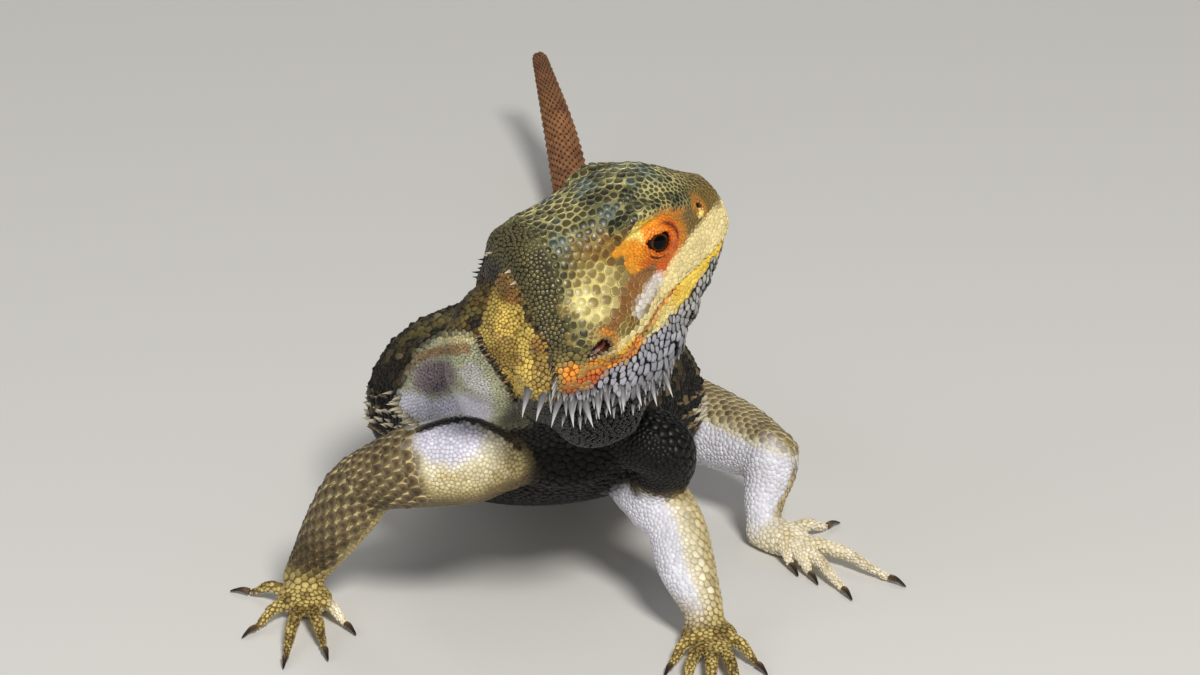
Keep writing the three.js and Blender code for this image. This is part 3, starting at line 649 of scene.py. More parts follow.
C = dict(
    crown=(lin(52, 46, 20), lin(168, 162, 104)), crown_light=(lin(78, 70, 34), lin(204, 196, 136)),
    crown_dark=(lin(26, 27, 14), lin(112, 112, 72)), crown_blue=(lin(58, 70, 64), lin(142, 152, 130)),
    temple=(lin(98, 68, 20), lin(178, 148, 72)), cheek=(lin(176, 162, 98), lin(246, 234, 166)),
    cheek_brown=(lin(116, 94, 44), lin(208, 192, 116)),
    rear=(lin(80, 73, 38), lin(46, 42, 21)), snout=(lin(98, 77, 34), lin(146, 124, 68)),
    lid=(lin(244, 146, 14), lin(248, 162, 34)), lid_deep=(lin(196, 84, 10), lin(206, 98, 18)),
    brow_y=(lin(222, 184, 52), lin(236, 204, 84)), brow_o=(lin(206, 124, 20), lin(216, 140, 38)),
    bright=(lin(244, 222, 118), lin(250, 234, 150)), streak=(lin(226, 142, 20), lin(240, 170, 46)),
    stripe=(lin(122, 80, 38), lin(166, 124, 70)), white=(lin(206, 200, 194), lin(226, 220, 208)),
    band=(lin(224, 204, 140), lin(234, 218, 164)), yellow=(lin(226, 186, 44), lin(236, 206, 80)),
    cream=(lin(232, 214, 146), lin(242, 230, 172)),
    orange=(lin(226, 144, 34), lin(176, 98, 20)), rust=(lin(190, 84, 26), lin(132, 52, 16)),
    beard=(lin(154, 154, 162), lin(54, 54, 60)), lower=(lin(170, 168, 164), lin(84, 82, 78)),
    throat=(lin(5, 6, 5), lin(15, 17, 15)),
    ochre=(lin(208, 178, 88), lin(150, 122, 50)), neck_dark=(lin(112, 84, 38), lin(78, 56, 24)),
    gold=(lin(148, 98, 40), lin(98, 62, 22)), olive=(lin(126, 112, 60), lin(88, 77, 38)),
    green=(lin(178, 178, 148), lin(146, 147, 116)), lilac=(lin(126, 111, 118), lin(84, 72, 80)),
    lilac_white=(lin(210, 208, 221), lin(184, 181, 197)),
    # flank is painted shade: near black, put on the sides of the trunk, in the fold and the crevice behind the head,
    # and where the thighs meet the body
    back=(lin(20, 16, 10), lin(52, 44, 26)), flank=(lin(7, 6, 4), lin(21, 18, 11)),
    blotch=(lin(104, 86, 54), lin(160, 142, 100)),
    # chest_shade is painted shade: near black, put under the beard, along the armpit and below the arms
    belly=(lin(140, 134, 122), lin(176, 170, 156)), chest_shade=(lin(4, 3, 3), lin(10, 9, 7)),
    limb=(lin(60, 39, 17), lin(208, 192, 144)), limb_dark=(lin(34, 22, 10), lin(146, 126, 82)),
    limb_gold=(lin(196, 178, 122), lin(164, 144, 92)),
    limb_white=(lin(214, 213, 224), lin(228, 227, 234)),
    limb_cream=(lin(224, 216, 188), lin(204, 192, 156)), hand=(lin(204, 184, 116), lin(142, 118, 62)),
    hand_dark=(lin(134, 110, 58), lin(88, 68, 32)), foot=(lin(250, 242, 220), lin(230, 216, 182)),
    tail=(lin(150, 102, 64), lin(90, 60, 40)), tail_dark=(lin(92, 60, 40), lin(54, 36, 24)),
    tail_under=(lin(150, 118, 92), lin(180, 150, 122)))


class Paint:
    """The middle and the rim of the scales, painted from one list of places."""

    def __init__(self, n, name):
        self.mid = np.tile(C[name][0], (n, 1))
        self.rim = np.tile(C[name][1], (n, 1))

    def put(self, name, w):
        self.mid = mix(self.mid, C[name][0], w)
        self.rim = mix(self.rim, C[name][1], w)


def paint_head(p, n):
    h = world_to_head(p)
    nh = n @ HEAD_AXES.T
    x, y, z = h[:, 0], np.abs(h[:, 1]), h[:, 2]
    s = smoothstep(0.30, 0.62, np.abs(nh[:, 1]))
    big = noise3(h, 0.26, 3)
    mid_ = noise3(h, 0.42, 4)
    fine = noise3(h, 0.8, 5)
    c = Paint(len(p), "crown")
    top = smoothstep(11, 14, z)
    c.put("crown_dark", 0.9 * top * smoothstep(0.50, 0.64, mid_))
    c.put("crown_light", 0.95 * top * smoothstep(0.50, 0.36, mid_) * smoothstep(2, 5, x))
    c.put("crown_light", 0.9 * np.exp(-(((x - 7.4) / 3.4) ** 2 + ((y - 4.5) / 3.2) ** 2)) * top)
    c.put("crown_dark", 0.8 * np.exp(-(((x - 14.5) / 3.6) ** 2 + ((y - 5.0) / 4.6) ** 2)) * top)
    c.put("crown_dark", 0.8 * np.exp(-(((x - 21.5) / 3.0) ** 2 + ((y - 8.6) / 1.8) ** 2)) * top)
    c.put("crown_blue", 0.85 * smoothstep(0.60, 0.74, big) * top * smoothstep(31, 27, x))
    c.put("crown_blue", 0.7 * np.exp(-(((x - 27.5) / 2.6) ** 2 + ((y - 2.5) / 2.4) ** 2)) * top)
    c.put("snout", smoothstep(31, 37, x) * 0.7)
    rear_x = -2.2 + 0.2 * (z - 3.7)
    c.put("rear", smoothstep(1.6, -1.2, x - rear_x + 2.0 * (fine - 0.5)))
    c.put("crown_light", 0.7 * np.exp(-(((x + 0.6) / 1.7) ** 2 + ((y - 6.3) / 1.8) ** 2)) * top)
    low = smoothstep(16.6, 13.4, z + 1.6 * (fine - 0.5)) * s
    c.put("temple", low * smoothstep(2.5, 6.5, x + 1.5 * (fine - 0.5)) * smoothstep(20, 17.5, x))
    c.put("olive", 0.55 * low * smoothstep(0.52, 0.66, mid_) * smoothstep(3, 6, x) * smoothstep(17, 15, x))
    c.put("cheek", 0.98 * smoothstep(1.25, 0.65, np.hypot((x - 6.6) / 6.4, (z - 5.4) / 4.6) + 0.35 * (fine - 0.5)) * s)
    c.put("cream", 0.55 * np.exp(-(((x - 10.6) / 2.4) ** 2 + ((z - 4.2) / 2.2) ** 2)) * s)
    c.put("cheek_brown", 0.75 * smoothstep(0.55, 0.68, mid_) * s * smoothstep(-1, 3, x) * smoothstep(14, 12, x) * smoothstep(12, 10, z))
    c.put("cheek_brown", 0.9 * s * smoothstep(3.5, 0.5, x) * smoothstep(9, 6, z) * smoothstep(0.42, 0.6, fine))
    c.put("rear", s * smoothstep(1.4, -1.4, x - rear_x + 1.6 * (fine - 0.5)) * smoothstep(-3.5, -1.5, z))
    c.put("olive", 0.5 * s * smoothstep(0.5, 0.7, fine) * smoothstep(-1, -4, x))
    c.put("olive", 0.85 * s * smoothstep(-1.5, -3.5, z) * smoothstep(3, 0, x))
    # snout side
    c.put("snout", s * smoothstep(26, 29, x) * smoothstep(12.5, 9, z))
    # brow
    brow = smoothstep(2.2, 1.0, np.minimum(seg_dist(x, z, 19.6, 14.6, 24.5, 14.8), seg_dist(x, z, 24.5, 14.8, 30.5, 12.2))) * smoothstep(0.12, 0.4, np.abs(nh[:, 1])) * smoothstep(6.2, 8.4, y) * smoothstep(15.9, 14.7, z + 0.42 * np.maximum(0, x - 22))
    c.put("brow_y", brow * smoothstep(26, 20.5, x + 1.2 * (fine - 0.5)))
    c.put("brow_o", brow * smoothstep(20.8, 25, x + 1.2 * (fine - 0.5)) * smoothstep(32, 29, x) * 0.95)
    # lids
    rr, fi = ring_polar(x, z)
    q = opening_q(x, z)
    e = (y > 6)
    around = e * smoothstep(8.4, 6.0, rr + 0.9 * (fine - 0.5))
    c.put("lid_deep", around * smoothstep(3.8, 1.0, z) * 0.8)
    c.put("brow_o", around * smoothstep(22, 25.5, x) * 0.85)
    c.put("streak", around * smoothstep(21.5, 18.5, x) * smoothstep(2.5, 5.0, z) * 0.95)
    c.put("bright", around * smoothstep(19.8, 17.8, x) * smoothstep(10.2, 12.0, z) * 0.85)
    lid = e * smoothstep(6.1, 5.2, rr)
    c.put("lid", lid)
    # the lids are deeper orange on their lower half and by the opening, their own tone, and in their grooves and the
    # lower fold, which is painted shade
    deep = 0.65 * smoothstep(2.5, -3.5, z - RING[1]) + 0.65 * gauss(rr - 4.9, 0.8) * smoothstep(-70, -10, fi) * smoothstep(100, 50, fi) + 0.75 * gauss(q - 0.1, 0.4) + 0.35 * smoothstep(-60, -10, fi) * smoothstep(80, 30, fi)
    low_arc = smoothstep(-165, -140, fi) * smoothstep(-70, -95, fi)
    deep = deep + low_arc * 0.9 * gauss(q - 1.25, 0.32)
    for r0 in (2.75, 3.5, 4.25):
        deep = deep + 0.34 * gauss(rr - r0 - 0.12 * np.sin(np.radians(3 * fi + 40 * r0)), 0.2)
    c.put("lid_deep", lid * np.clip(deep, 0, 1))
    # painted shade: near black in the fold in front, in the lower fold and round the opening between the lids
    dark = lid * (0.85 * smoothstep(-35, 0, fi) * smoothstep(80, 45, fi) * gauss(rr - 4.75, 0.34) + 0.85 * low_arc * gauss(q - 1.15, 0.26) + 0.95 * smoothstep(0.22, -0.2, q))
    c.mid = mix(c.mid, lin(44, 14, 5), dark)
    c.rim = mix(c.rim, lin(60, 22, 8), dark)
    # bright spot and streaks behind the eye
    c.put("bright", e * 0.98 * smoothstep(1.9, 0.8, seg_dist(x, z, 18.6, 13.4, 18.2, 11.4)))
    c.put("streak", e * s * 0.95 * smoothstep(2.0, 0.8, seg_dist(x, z, 17.6, 10.2, 14.4, 10.6) + 0.7 * (fine - 0.5)))
    c.put("streak", e * s * 0.9 * smoothstep(1.9, 0.7, seg_dist(x, z, 17.8, 7.4, 15.2, 6.6) + 0.7 * (fine - 0.5)))
    # orange under the lids, then the brown stripe to the ear
    c.put("lid_deep", e * 0.8 * smoothstep(2.0, 0.9, seg_dist(x, z, 20.5, 2.4, 24.0, 2.8)))
    stripe = np.minimum(np.minimum(seg_dist(x, z, 19.4, 3.2, 16.6, 3.0), seg_dist(x, z, 16.6, 3.0, 10.9, 1.6)), seg_dist(x, z, 10.9, 1.6, 5.6, -0.6))
    c.put("stripe", s * smoothstep(2.2, 1.1, stripe + 0.9 * (fine - 0.5)))
    # upper lip band
    dm = z - mouth_z(x)
    top_ = np.interp(x, [14, 20, 23, 27, 30, 33, 36, 41], [1.5, 3.5, 4.9, 6.4, 7.5, 8.1, 8.4, 8.7])
    band = smoothstep(top_ + 0.7, top_ - 0.5, dm + 0.5 * (fine - 0.5)) * (dm > -0.1) * smoothstep(17.5, 20.5, x)
    c.put("band", band)
    c.put("cream", 0.85 * s * smoothstep(3.0, 1.7, dm + 0.8 * (fine - 0.5)) * (dm > 0) * smoothstep(7, 10, x) * smoothstep(20.5, 18, x))
    c.put("white", 0.8 * s * smoothstep(2.2, 0.6, seg_dist(x, z, 20.4, 1.0, 13.4, -1.2) + 0.8 * (fine - 0.5)) * (dm > 0.4))
    c.put("snout", smoothstep(36.5, 39.5, x) * 0.5 * (dm > 7.5))
    # lower jaw: cream under the corner of the mouth
    jaw = (dm < 0.3) * 1.0
    c.put("cream", jaw * s * smoothstep(8, 12, x) * smoothstep(36, 28, x))
    c.put("yellow", 0.9 * smoothstep(0.7, 0.1, dm) * smoothstep(19.5, 24, x + 1.2 * (fine - 0.5)))
    c.put("yellow", 0.6 * jaw * s * smoothstep(1.3, 0.5, seg_dist(x, z, 24, -5.0, 14.0, -7.0) + 0.6 * (fine - 0.5)))
    c.put("orange", 0.85 * s * smoothstep(1.1, 0.35, np.abs(dm + 0.15)) * smoothstep(26, 22, x) * smoothstep(9, 12, x))
    # nostril
    qn = nostril_q(x, z)
    near = (y > 3) & (x > 31)
    c.put("brow_o", near * 0.45 * smoothstep(3.4, 1.8, qn))
    # painted highlight on the nostril's lower rim
    c.put("bright", near * 0.9 * smoothstep(1.2, 0.4, np.hypot((x - 34.3) / 0.9, (z - 7.5) / 0.9)))
    # painted shade: the inside of the nostril is near black
    c.mid = mix(c.mid, lin(30, 16, 8), near * smoothstep(1.1, 0.6, qn))
    c.rim = mix(c.rim, lin(30, 16, 8), near * smoothstep(1.1, 0.6, qn))
    # orange to rust below the ear, then the beard
    c.put("olive", 0.9 * s * smoothstep(2.6, 1.2, seg_dist(x, z, -1.5, -6.2, -6, -7.6) + 0.8 * (fine - 0.5)))
    c.put("cream", 0.85 * s * smoothstep(1.8, 0.8, seg_dist(x, z, 6.8, -5.2, 2.5, -6.8) + 0.8 * (fine - 0.5)))
    c.put("orange", s * smoothstep(-5.2, -6.4, z + 0.06 * x + 1.0 * (fine - 0.5)) * smoothstep(15, 11.5, x + 1.2 * (fine - 0.5)) * smoothstep(-7.5, -5, x + 1.2 * (fine - 0.5)))
    c.put("yellow", 0.6 * s * smoothstep(1.2, 0.4, seg_dist(x, z, 9.5, -6.2, 3.0, -6.8) + 0.7 * (fine - 0.5)))
    c.put("rust", s * 0.85 * smoothstep(2.6, 0.8, seg_dist(x, z, 2, -10.6, -5.0, -10.4) + 1.6 * (fine - 0.5)))
    c.put("rust", s * 0.6 * smoothstep(0.55, 0.7, mid_) * smoothstep(-6.5, -8, z) * smoothstep(12, 9, x))
    c.put("cheek_brown", 0.7 * s * smoothstep(0.56, 0.70, fine) * smoothstep(12, 8, x) * smoothstep(-5, -7, z))
    b = smoothstep(0.6, -0.6, z - beard_z(x) + 1.5 * (fine - 0.5))
    c.put("beard", b)
    c.put("lower", b * smoothstep(20, 27, x))
    c.put("throat", 0.5 * b * smoothstep(5.0, 1.0, z - rim_z(x)) * smoothstep(0.42, 0.6, big))
    c.put("throat", smoothstep(1.6, -0.2, z - rim_z(x)))
    c.put("throat", smoothstep(0.25, 0.6, -nh[:, 2]) * smoothstep(-5, -8, z))
    # ear
    qe = ear_q(x, z)
    w = (y > 12) * smoothstep(1.25, 0.9, qe)
    c.mid = mix(c.mid, lin(70, 26, 14), w)
    c.rim = mix(c.rim, lin(70, 26, 14), w)
    c.put("orange", (y > 12) * 0.5 * gauss(qe - 1.5, 0.25) * smoothstep(1, 4, x))
    # behind the head's rear edge it is already the neck
    back = smoothstep(-6.4, -7.6, x) * smoothstep(-17.5, -15.5, z)
    c.put("back", back)
    paint_side(c, p, n, back)
    return c


# a flat sheet, 1200 by 675, held in front of the animal: the patches on its side are drawn on it
SHEET_AT = np.array([0.0, -1061.1, 453.1])
SHEET_C, SHEET_S = math.cos(math.radians(70)), math.sin(math.radians(70))
SHEET_F = 165.6 / 36.0 * 1200.0


def on_sheet(p, n):
    """Where a place falls on the sheet, and how squarely it faces it; the two sides are alike, but places of the far
    side that face the sheet get no patches and keep their dark colour as painted shade.
    """
    p, n = np.array(p, float), np.array(n, float)
    cx = np.interp(p[:, 1], [-22, -12, 10, 40, 100], [4, -3, -8, -12, -12.5])
    far = p[:, 0] > cx
    # painted shade: places of the far side that face the sheet are marked to get no patches, so they stay dark
    far_side_shaded = far & ((unit(p - SHEET_AT) * n).sum(1) < -0.05) & (p[:, 2] < 76)
    p[far, 0] = 2 * cx[far] - p[far, 0]
    n[far, 0] *= -1
    q = p - SHEET_AT
    y = SHEET_C * q[:, 1] + SHEET_S * q[:, 2]
    z = -SHEET_S * q[:, 1] + SHEET_C * q[:, 2]
    k = SHEET_F / -z
    return 600 + q[:, 0] * k, 337.5 - y * k, np.where(far_side_shaded, -1.0, -(unit(q) * n).sum(1))


def patch(u, v, pts, soft):
    """1 inside the outline, 0 outside it."""
    pts = np.asarray(pts, float)
    d = np.full(len(u), 1e9)
    inside = np.zeros(len(u), bool)
    for (x0, y0), (x1, y1) in zip(pts, np.roll(pts, -1, axis=0)):
        d = np.minimum(d, seg_dist(u, v, x0, y0, x1, y1))
        if y0 != y1:
            inside ^= ((y0 > v) != (y1 > v)) & (u < (x1 - x0) * (v - y0) / (y1 - y0) + x0)
    return smoothstep(-soft, soft, np.where(inside, d, -d))


def line_dist(u, v, pts):
    return np.min([seg_dist(u, v, *a, *b) for a, b in zip(pts[:-1], pts[1:])], axis=0)


COLLAR = [(508, 266), (521, 258), (526, 285), (530, 310), (536, 330), (553, 338), (562, 352), (574, 372), (582, 396), (550, 402), (513, 394), (498, 373), (483, 350), (477, 334), (485, 318), (490, 300), (496, 282)]
CREVICE = [(484, 240), (505, 251), (517, 265), (522, 284), (525, 304), (528, 318), (534, 327), (540, 333), (552, 346), (554, 358)]
ARMPIT = [(398, 434), (412, 432), (427, 427), (447, 421), (466, 419), (480, 421), (494, 427), (508, 437), (520, 448)]
FOLD = [(477, 336), (481, 346), (489, 358), (498, 371), (508, 384), (515, 400)]
SHOULDER = [(418, 352), (438, 338), (460, 332), (478, 338), (500, 373), (512, 396), (528, 424), (500, 428), (470, 421), (440, 428), (414, 432), (400, 416), (398, 398), (408, 376)]


def fine_skin(p, n):
    """Where the neck and the shoulder carry the finest scales."""
    u, v, face = on_sheet(p, n)
    f = smoothstep(-0.45, -0.2, face)
    return np.maximum(patch(u, v, SHOULDER, 4.0) * smoothstep(60, 52, p[:, 1]), patch(u, v, COLLAR, 4.0) * smoothstep(22, 14, p[:, 1])) * f


def paint_side(c, p, n, share=1.0):
    """The collar, the fold behind it and the pale patch of the shoulder, with painted shade in the fold, the crevice
    and the armpit.
    """
    u, v, face = on_sheet(p, n)
    f = smoothstep(-0.45, -0.2, face) * share * smoothstep(60, 52, p[:, 1])
    fine = noise3(p, 0.7, 31)
    mid_ = noise3(p, 0.3, 32)
    j = 7.0 * (fine - 0.5)
    c.put("olive", 0.5 * f * smoothstep(15, 6, line_dist(u, v, [(408, 345), (432, 326), (458, 318), (474, 304)]) + j) * smoothstep(0.35, 0.6, mid_))
    s_ = patch(u, v, SHOULDER, 5.0) * f
    c.put("green", s_)
    c.put("band", 0.55 * s_ * smoothstep(10, 4, line_dist(u, v, [(446, 338), (478, 336)]) + j))
    c.put("gold", 0.7 * s_ * smoothstep(8, 3, line_dist(u, v, [(404, 368), (428, 353), (466, 348)]) + j))
    c.put("neck_dark", 0.6 * s_ * smoothstep(8, 3, line_dist(u, v, [(404, 368), (428, 353), (466, 348)]) + j) * smoothstep(0.5, 0.65, fine))
    c.put("lilac", 0.95 * s_ * smoothstep(30, 14, np.hypot(u - 434, (v - 378) * 1.1) + j))
    c.put("lilac_white", s_ * smoothstep(18, 5, line_dist(u, v, [(404, 404), (430, 410), (462, 404), (480, 412)]) + j))
    c.put("lilac_white", 0.5 * s_ * smoothstep(14, 5, line_dist(u, v, [(470, 372), (486, 396)]) + j))
    # painted shade: the lower end of the patch turns black towards the chest
    c.put("chest_shade", 0.85 * s_ * smoothstep(492, 512, u + 0.6 * (v - 415) + j) * smoothstep(392, 402, v))
    k = patch(u, v, COLLAR, 3.0) * f * smoothstep(22, 14, p[:, 1])
    c.put("ochre", k)
    c.put("olive", 0.6 * k * smoothstep(16, 8, line_dist(u, v, [(492, 285), (482, 325), (486, 345)]) + j))
    c.put("gold", 0.97 * k * smoothstep(20, 10, line_dist(u, v, [(508, 262), (515, 290)]) + j))
    c.put("neck_dark", 0.5 * k * smoothstep(20, 8, line_dist(u, v, [(502, 262), (506, 284)]) + j))
    c.put("gold", 0.85 * k * smoothstep(13, 7, np.hypot(u - 541, v - 345) + 0.4 * j))
    c.put("neck_dark", 0.65 * k * smoothstep(0.50, 0.68, mid_))
    c.put("neck_dark", 0.5 * k * smoothstep(0.60, 0.75, fine))
    # painted shade: dark along the fold's crease, near black in the crevice behind the head and black along the armpit
    c.put("neck_dark", 0.9 * f * smoothstep(3.4, 1.4, line_dist(u, v, FOLD)))
    c.put("flank", 0.9 * f * smoothstep(2.2, 0.9, line_dist(u, v, FOLD[1:])))
    c.put("flank", 0.95 * f * smoothstep(3.4, 1.4, line_dist(u, v, CREVICE) + 0.2 * j))
    c.put("chest_shade", f * smoothstep(4.4, 2.0, line_dist(u, v, ARMPIT) + 0.2 * j))


def paint_neck(p, n):
    c = Paint(len(p), "back")
    nz = noise3(p, 0.3, 8)
    c.put("olive", 0.3 * smoothstep(0.45, 0.7, nz) * smoothstep(0.2, 0.6, n[:, 2]))
    c.put("neck_dark", smoothstep(0.35, 0.65, nz) * 0.4)
    c.put("throat", smoothstep(0.05, -0.3, n[:, 2]) * smoothstep(74, 66, p[:, 2]))
    # painted shade: the front of the lower neck is black, under the beard
    c.put("chest_shade", smoothstep(-0.2, -0.6, n[:, 1]) * smoothstep(66, 58, p[:, 2]))
    paint_side(c, p, n)
    return c


def trunk_line(y):
    r = np.array(TRUNK)
    return np.interp(y, r[:, 1], r[:, 0]), np.interp(y, r[:, 1], r[:, 2]), np.interp(y, r[:, 1], r[:, 3])


def paint_trunk(p, n):
    x, y, z = p.T
    cx, cz, hw = trunk_line(y)
    u = (x - cx) / hw
    c = Paint(len(p), "back")
    nz = noise3(p, 0.16, 12)
    fine = noise3(p, 0.5, 13)
    # pale blotches in two rows along the back, as the species has
    rows = gauss(np.abs(u) - 0.30, 0.17) * (0.5 + 0.5 * np.sin(y * 0.52 + 0.9 * np.sin(x * 0.2)))
    c.put("blotch", 0.85 * smoothstep(0.42, 0.72, rows + 0.45 * (nz - 0.5)) * smoothstep(0.2, 0.6, n[:, 2]))
    c.put("blotch", 0.5 * smoothstep(0.62, 0.85, fine) * smoothstep(0.1, 0.5, n[:, 2]))
    # painted shade: the sides are near black where they turn away from the top
    c.put("flank", smoothstep(0.55, 0.15, n[:, 2]) * 0.9)
    front = smoothstep(36, 28, y) * smoothstep(-0.15, -0.4, n[:, 1])
    belly = smoothstep(-0.25, -0.65, n[:, 2])
    c.put("belly", belly * smoothstep(25, 50, y))
    # painted shade: the front of the chest and the underside there are black, under the beard
    c.put("chest_shade", smoothstep(0.1, -0.3, n[:, 2]) * smoothstep(38, 24, y))
    c.put("chest_shade", front)
    paint_side(c, p, n)
    return c


def paint_tail(p, n):
    y = p[:, 1]
    c = Paint(len(p), "tail")
    bands = 0.5 + 0.5 * np.sin(y * 0.16 + 0.6 * np.sin(y * 0.07))
    c.put("tail_dark", 0.6 * smoothstep(0.4, 0.9, bands) * smoothstep(290, 250, y))
    c.put("tail_dark", 0.5 * smoothstep(0.55, 0.75, noise3(p, 0.5, 27)))
    c.put("back", smoothstep(132, 108, y) * 0.85)
    c.put("tail_under", 0.8 * smoothstep(-0.2, -0.7, n[:, 2]))
    c.put("tail_dark", 0.6 * smoothstep(300, 325, y))
    return c


# the brown side of each limb, and its white side
BROWN = {"upper_arm_R": (-0.45, -0.25, 0.85), "forearm_R": (-0.80, -0.50, 0.25), "upper_arm_L": (0.9, 0.3, 0.55), "forearm_L": (0.97, -0.12, 0.2),
         "thigh_R": (-0.2, -0.1, 1.0), "shin_R": (-0.7, 0.1, 0.7), "thigh_L": (0.25, 0.25, 1.0), "shin_L": (0.75, 0.65, 0.2)}


def limb_brown(p, n, zone):
    """How brown, and so how coarse, the scales are."""
    w = n @ unit(np.array(BROWN[zone]))
    f = noise3(p, 0.45, 21) - 0.5
    if zone == "upper_arm_R":
        # brown towards the elbow, pale towards the shoulder
        return smoothstep(-35.5, -39.5, p[:, 0] + 2.2 * f + 2.0 * (n[:, 2] - 0.5)) * smoothstep(-0.95, -0.6, n[:, 2])
    if zone == "forearm_R":
        return smoothstep(-0.35, 0.15, w + 0.3 * f)
    if zone == "forearm_L":
        return smoothstep(0.28, 0.62, w + 0.25 * f)
    if zone == "upper_arm_L":
        return smoothstep(-0.05, 0.4, w + 0.25 * f)
    if zone == "thigh_L":
        return smoothstep(0.25, 0.6, w + 0.25 * f)
    return smoothstep(-0.05, 0.35, w + 0.25 * f)


def paint_limb(p, n, zone):
    c = Paint(len(p), "limb_white")
    w = n @ unit(np.array(BROWN[zone]))
    br = limb_brown(p, n, zone)
    f = noise3(p, 0.45, 22)
    if zone == "upper_arm_R":
        u, v, face = on_sheet(p, n)
        c.put("lilac_white", np.ones(len(p)))
        c.put("limb_cream", smoothstep(16, 38, np.hypot((u - 446) / 1.5, v - 438) + 9 * (f - 0.5)))
        c.put("limb_gold", 0.9 * smoothstep(492, 522, u + 0.35 * (v - 450) + 20 * (f - 0.5)))
        c.put("limb_gold", 0.8 * smoothstep(468, 488, v + 16 * (f - 0.5)))
        # painted shade: black along the armpit, dark then black round the rounded end of the bulge towards the chest,
        # and darker underneath and near the shoulder where the arm faces down
        c.put("limb_dark", 0.9 * smoothstep(4.6, 1.8, line_dist(u, v, ARMPIT)) * (face > -0.1))
        c.put("chest_shade", smoothstep(3.8, 1.8, line_dist(u, v, ARMPIT)) * (face > -0.1))
        c.put("limb_dark", 0.8 * smoothstep(0.82, 0.98, np.hypot((u - 470) / 62, (v - 464) / 36)) * smoothstep(488, 500, u))
        c.put("chest_shade", smoothstep(0.98, 1.10, np.hypot((u - 470) / 62, (v - 464) / 36)) * smoothstep(488, 500, u))
        c.put("limb_dark", 0.8 * smoothstep(-0.25, -0.75, n[:, 2]))
        c.put("limb_dark", 0.8 * smoothstep(-27, -20, p[:, 0]) * smoothstep(-0.1, -0.5, n[:, 2]))
        c.put("limb", br)
        c.put("limb_dark", 0.6 * br * smoothstep(0.5, 0.7, f))
    elif zone == "forearm_R":
        c.put("limb_gold", smoothstep(-0.9, -0.5, w))
        c.put("limb", br)
        c.put("limb_dark", 0.75 * smoothstep(22, 15, p[:, 2] + 4 * (f - 0.5)) * smoothstep(5, 9, p[:, 2]) * smoothstep(-0.1, 0.3, w))
        c.put("hand", 0.8 * smoothstep(12, 7, p[:, 2]))
    elif zone == "forearm_L":
        c.put("limb_cream", smoothstep(-0.05, 0.4, w))
        c.put("limb_gold", 0.8 * smoothstep(0.55, 0.9, w + 0.2 * (f - 0.5)))
        c.put("limb", 0.25 * br * smoothstep(0.5, 0.7, f))
        c.put("hand", 0.7 * smoothstep(13, 6, p[:, 2]))
    elif zone == "upper_arm_L":
        c.put("limb_gold", smoothstep(-0.3, 0.1, w))
        # painted shade: the top of the arm, under the beard, turns dark and then black
        c.put("limb_dark", smoothstep(27, 30.5, p[:, 2] + 3 * (f - 0.5)))
        c.put("chest_shade", smoothstep(29, 32, p[:, 2] + 2 * (f - 0.5)))
    else:
        c.put("limb_cream", smoothstep(0.12, 0.4, w) if zone.endswith("L") else smoothstep(-0.4, 0.05, w))
        c.put("limb", br * 0.9)
        if zone.startswith("thigh"):
            c.put("limb_dark", 0.35 * br * smoothstep(0.5, 0.7, f))
            # painted shade: near black where the thigh meets the body
            c.put("flank", 0.9 * smoothstep(17, 10, np.abs(p[:, 0] + 10)))
        else:
            c.put("limb_gold", 0.7 * smoothstep(-0.1, 0.3, w) * smoothstep(0.4, 0.6, f))
    return c


def paint_hand(p, n, zone):
    c = Paint(len(p), "hand")
    f = noise3(p, 0.5, 23)
    c.put("hand_dark", 0.8 * smoothstep(0.40, 0.65, f) * smoothstep(-0.2, 0.4, n[:, 2]))
    if zone == "hand_R":  # the inner finger is white
        c.put("foot", smoothstep(-57.5, -55.5, p[:, 0]) * smoothstep(11.5, 9.5, p[:, 1]))
    c.put("limb_cream", 0.5 * smoothstep(-0.1, -0.6, n[:, 2]))
    return c


def paint_foot(p, n, zone):
    c = Paint(len(p), "foot")
    c.put("limb_cream", 0.5 * smoothstep(0.4, 0.7, noise3(p, 0.5, 25)))
    c.put("hand", 0.45 * smoothstep(0.3, 0.8, n[:, 2]) * smoothstep(0.5, 0.8, noise3(p, 0.4, 26)))
    return c


def paint(p, n, w):
    mid = np.zeros((len(p), 3))
    rim = np.zeros((len(p), 3))
    for zi, zone in enumerate(ZONES):
        on = w[:, zi] > 0.004
        if not on.any():
            continue
        pp, nn = p[on], n[on]
        if zone == "head":
            c = paint_head(pp, nn)
        elif zone == "neck":
            c = paint_neck(pp, nn)
        elif zone == "trunk":
            c = paint_trunk(pp, nn)
        elif zone == "tail":
            c = paint_tail(pp, nn)
        elif zone.startswith("hand"):
            c = paint_hand(pp, nn, zone)
        elif zone.startswith("foot"):
            c = paint_foot(pp, nn, zone)
        else:
            c = paint_limb(pp, nn, zone)
        k = w[on, zi][:, None]
        mid[on] += k * c.mid
        rim[on] += k * c.rim
    tot = w.sum(1, keepdims=True)
    return mid / tot, rim / tot


W_sum = W.sum(1, keepdims=True)
W = W / W_sum
skin_mid, skin_rim = paint(P, N, W)
clock("painted skin")


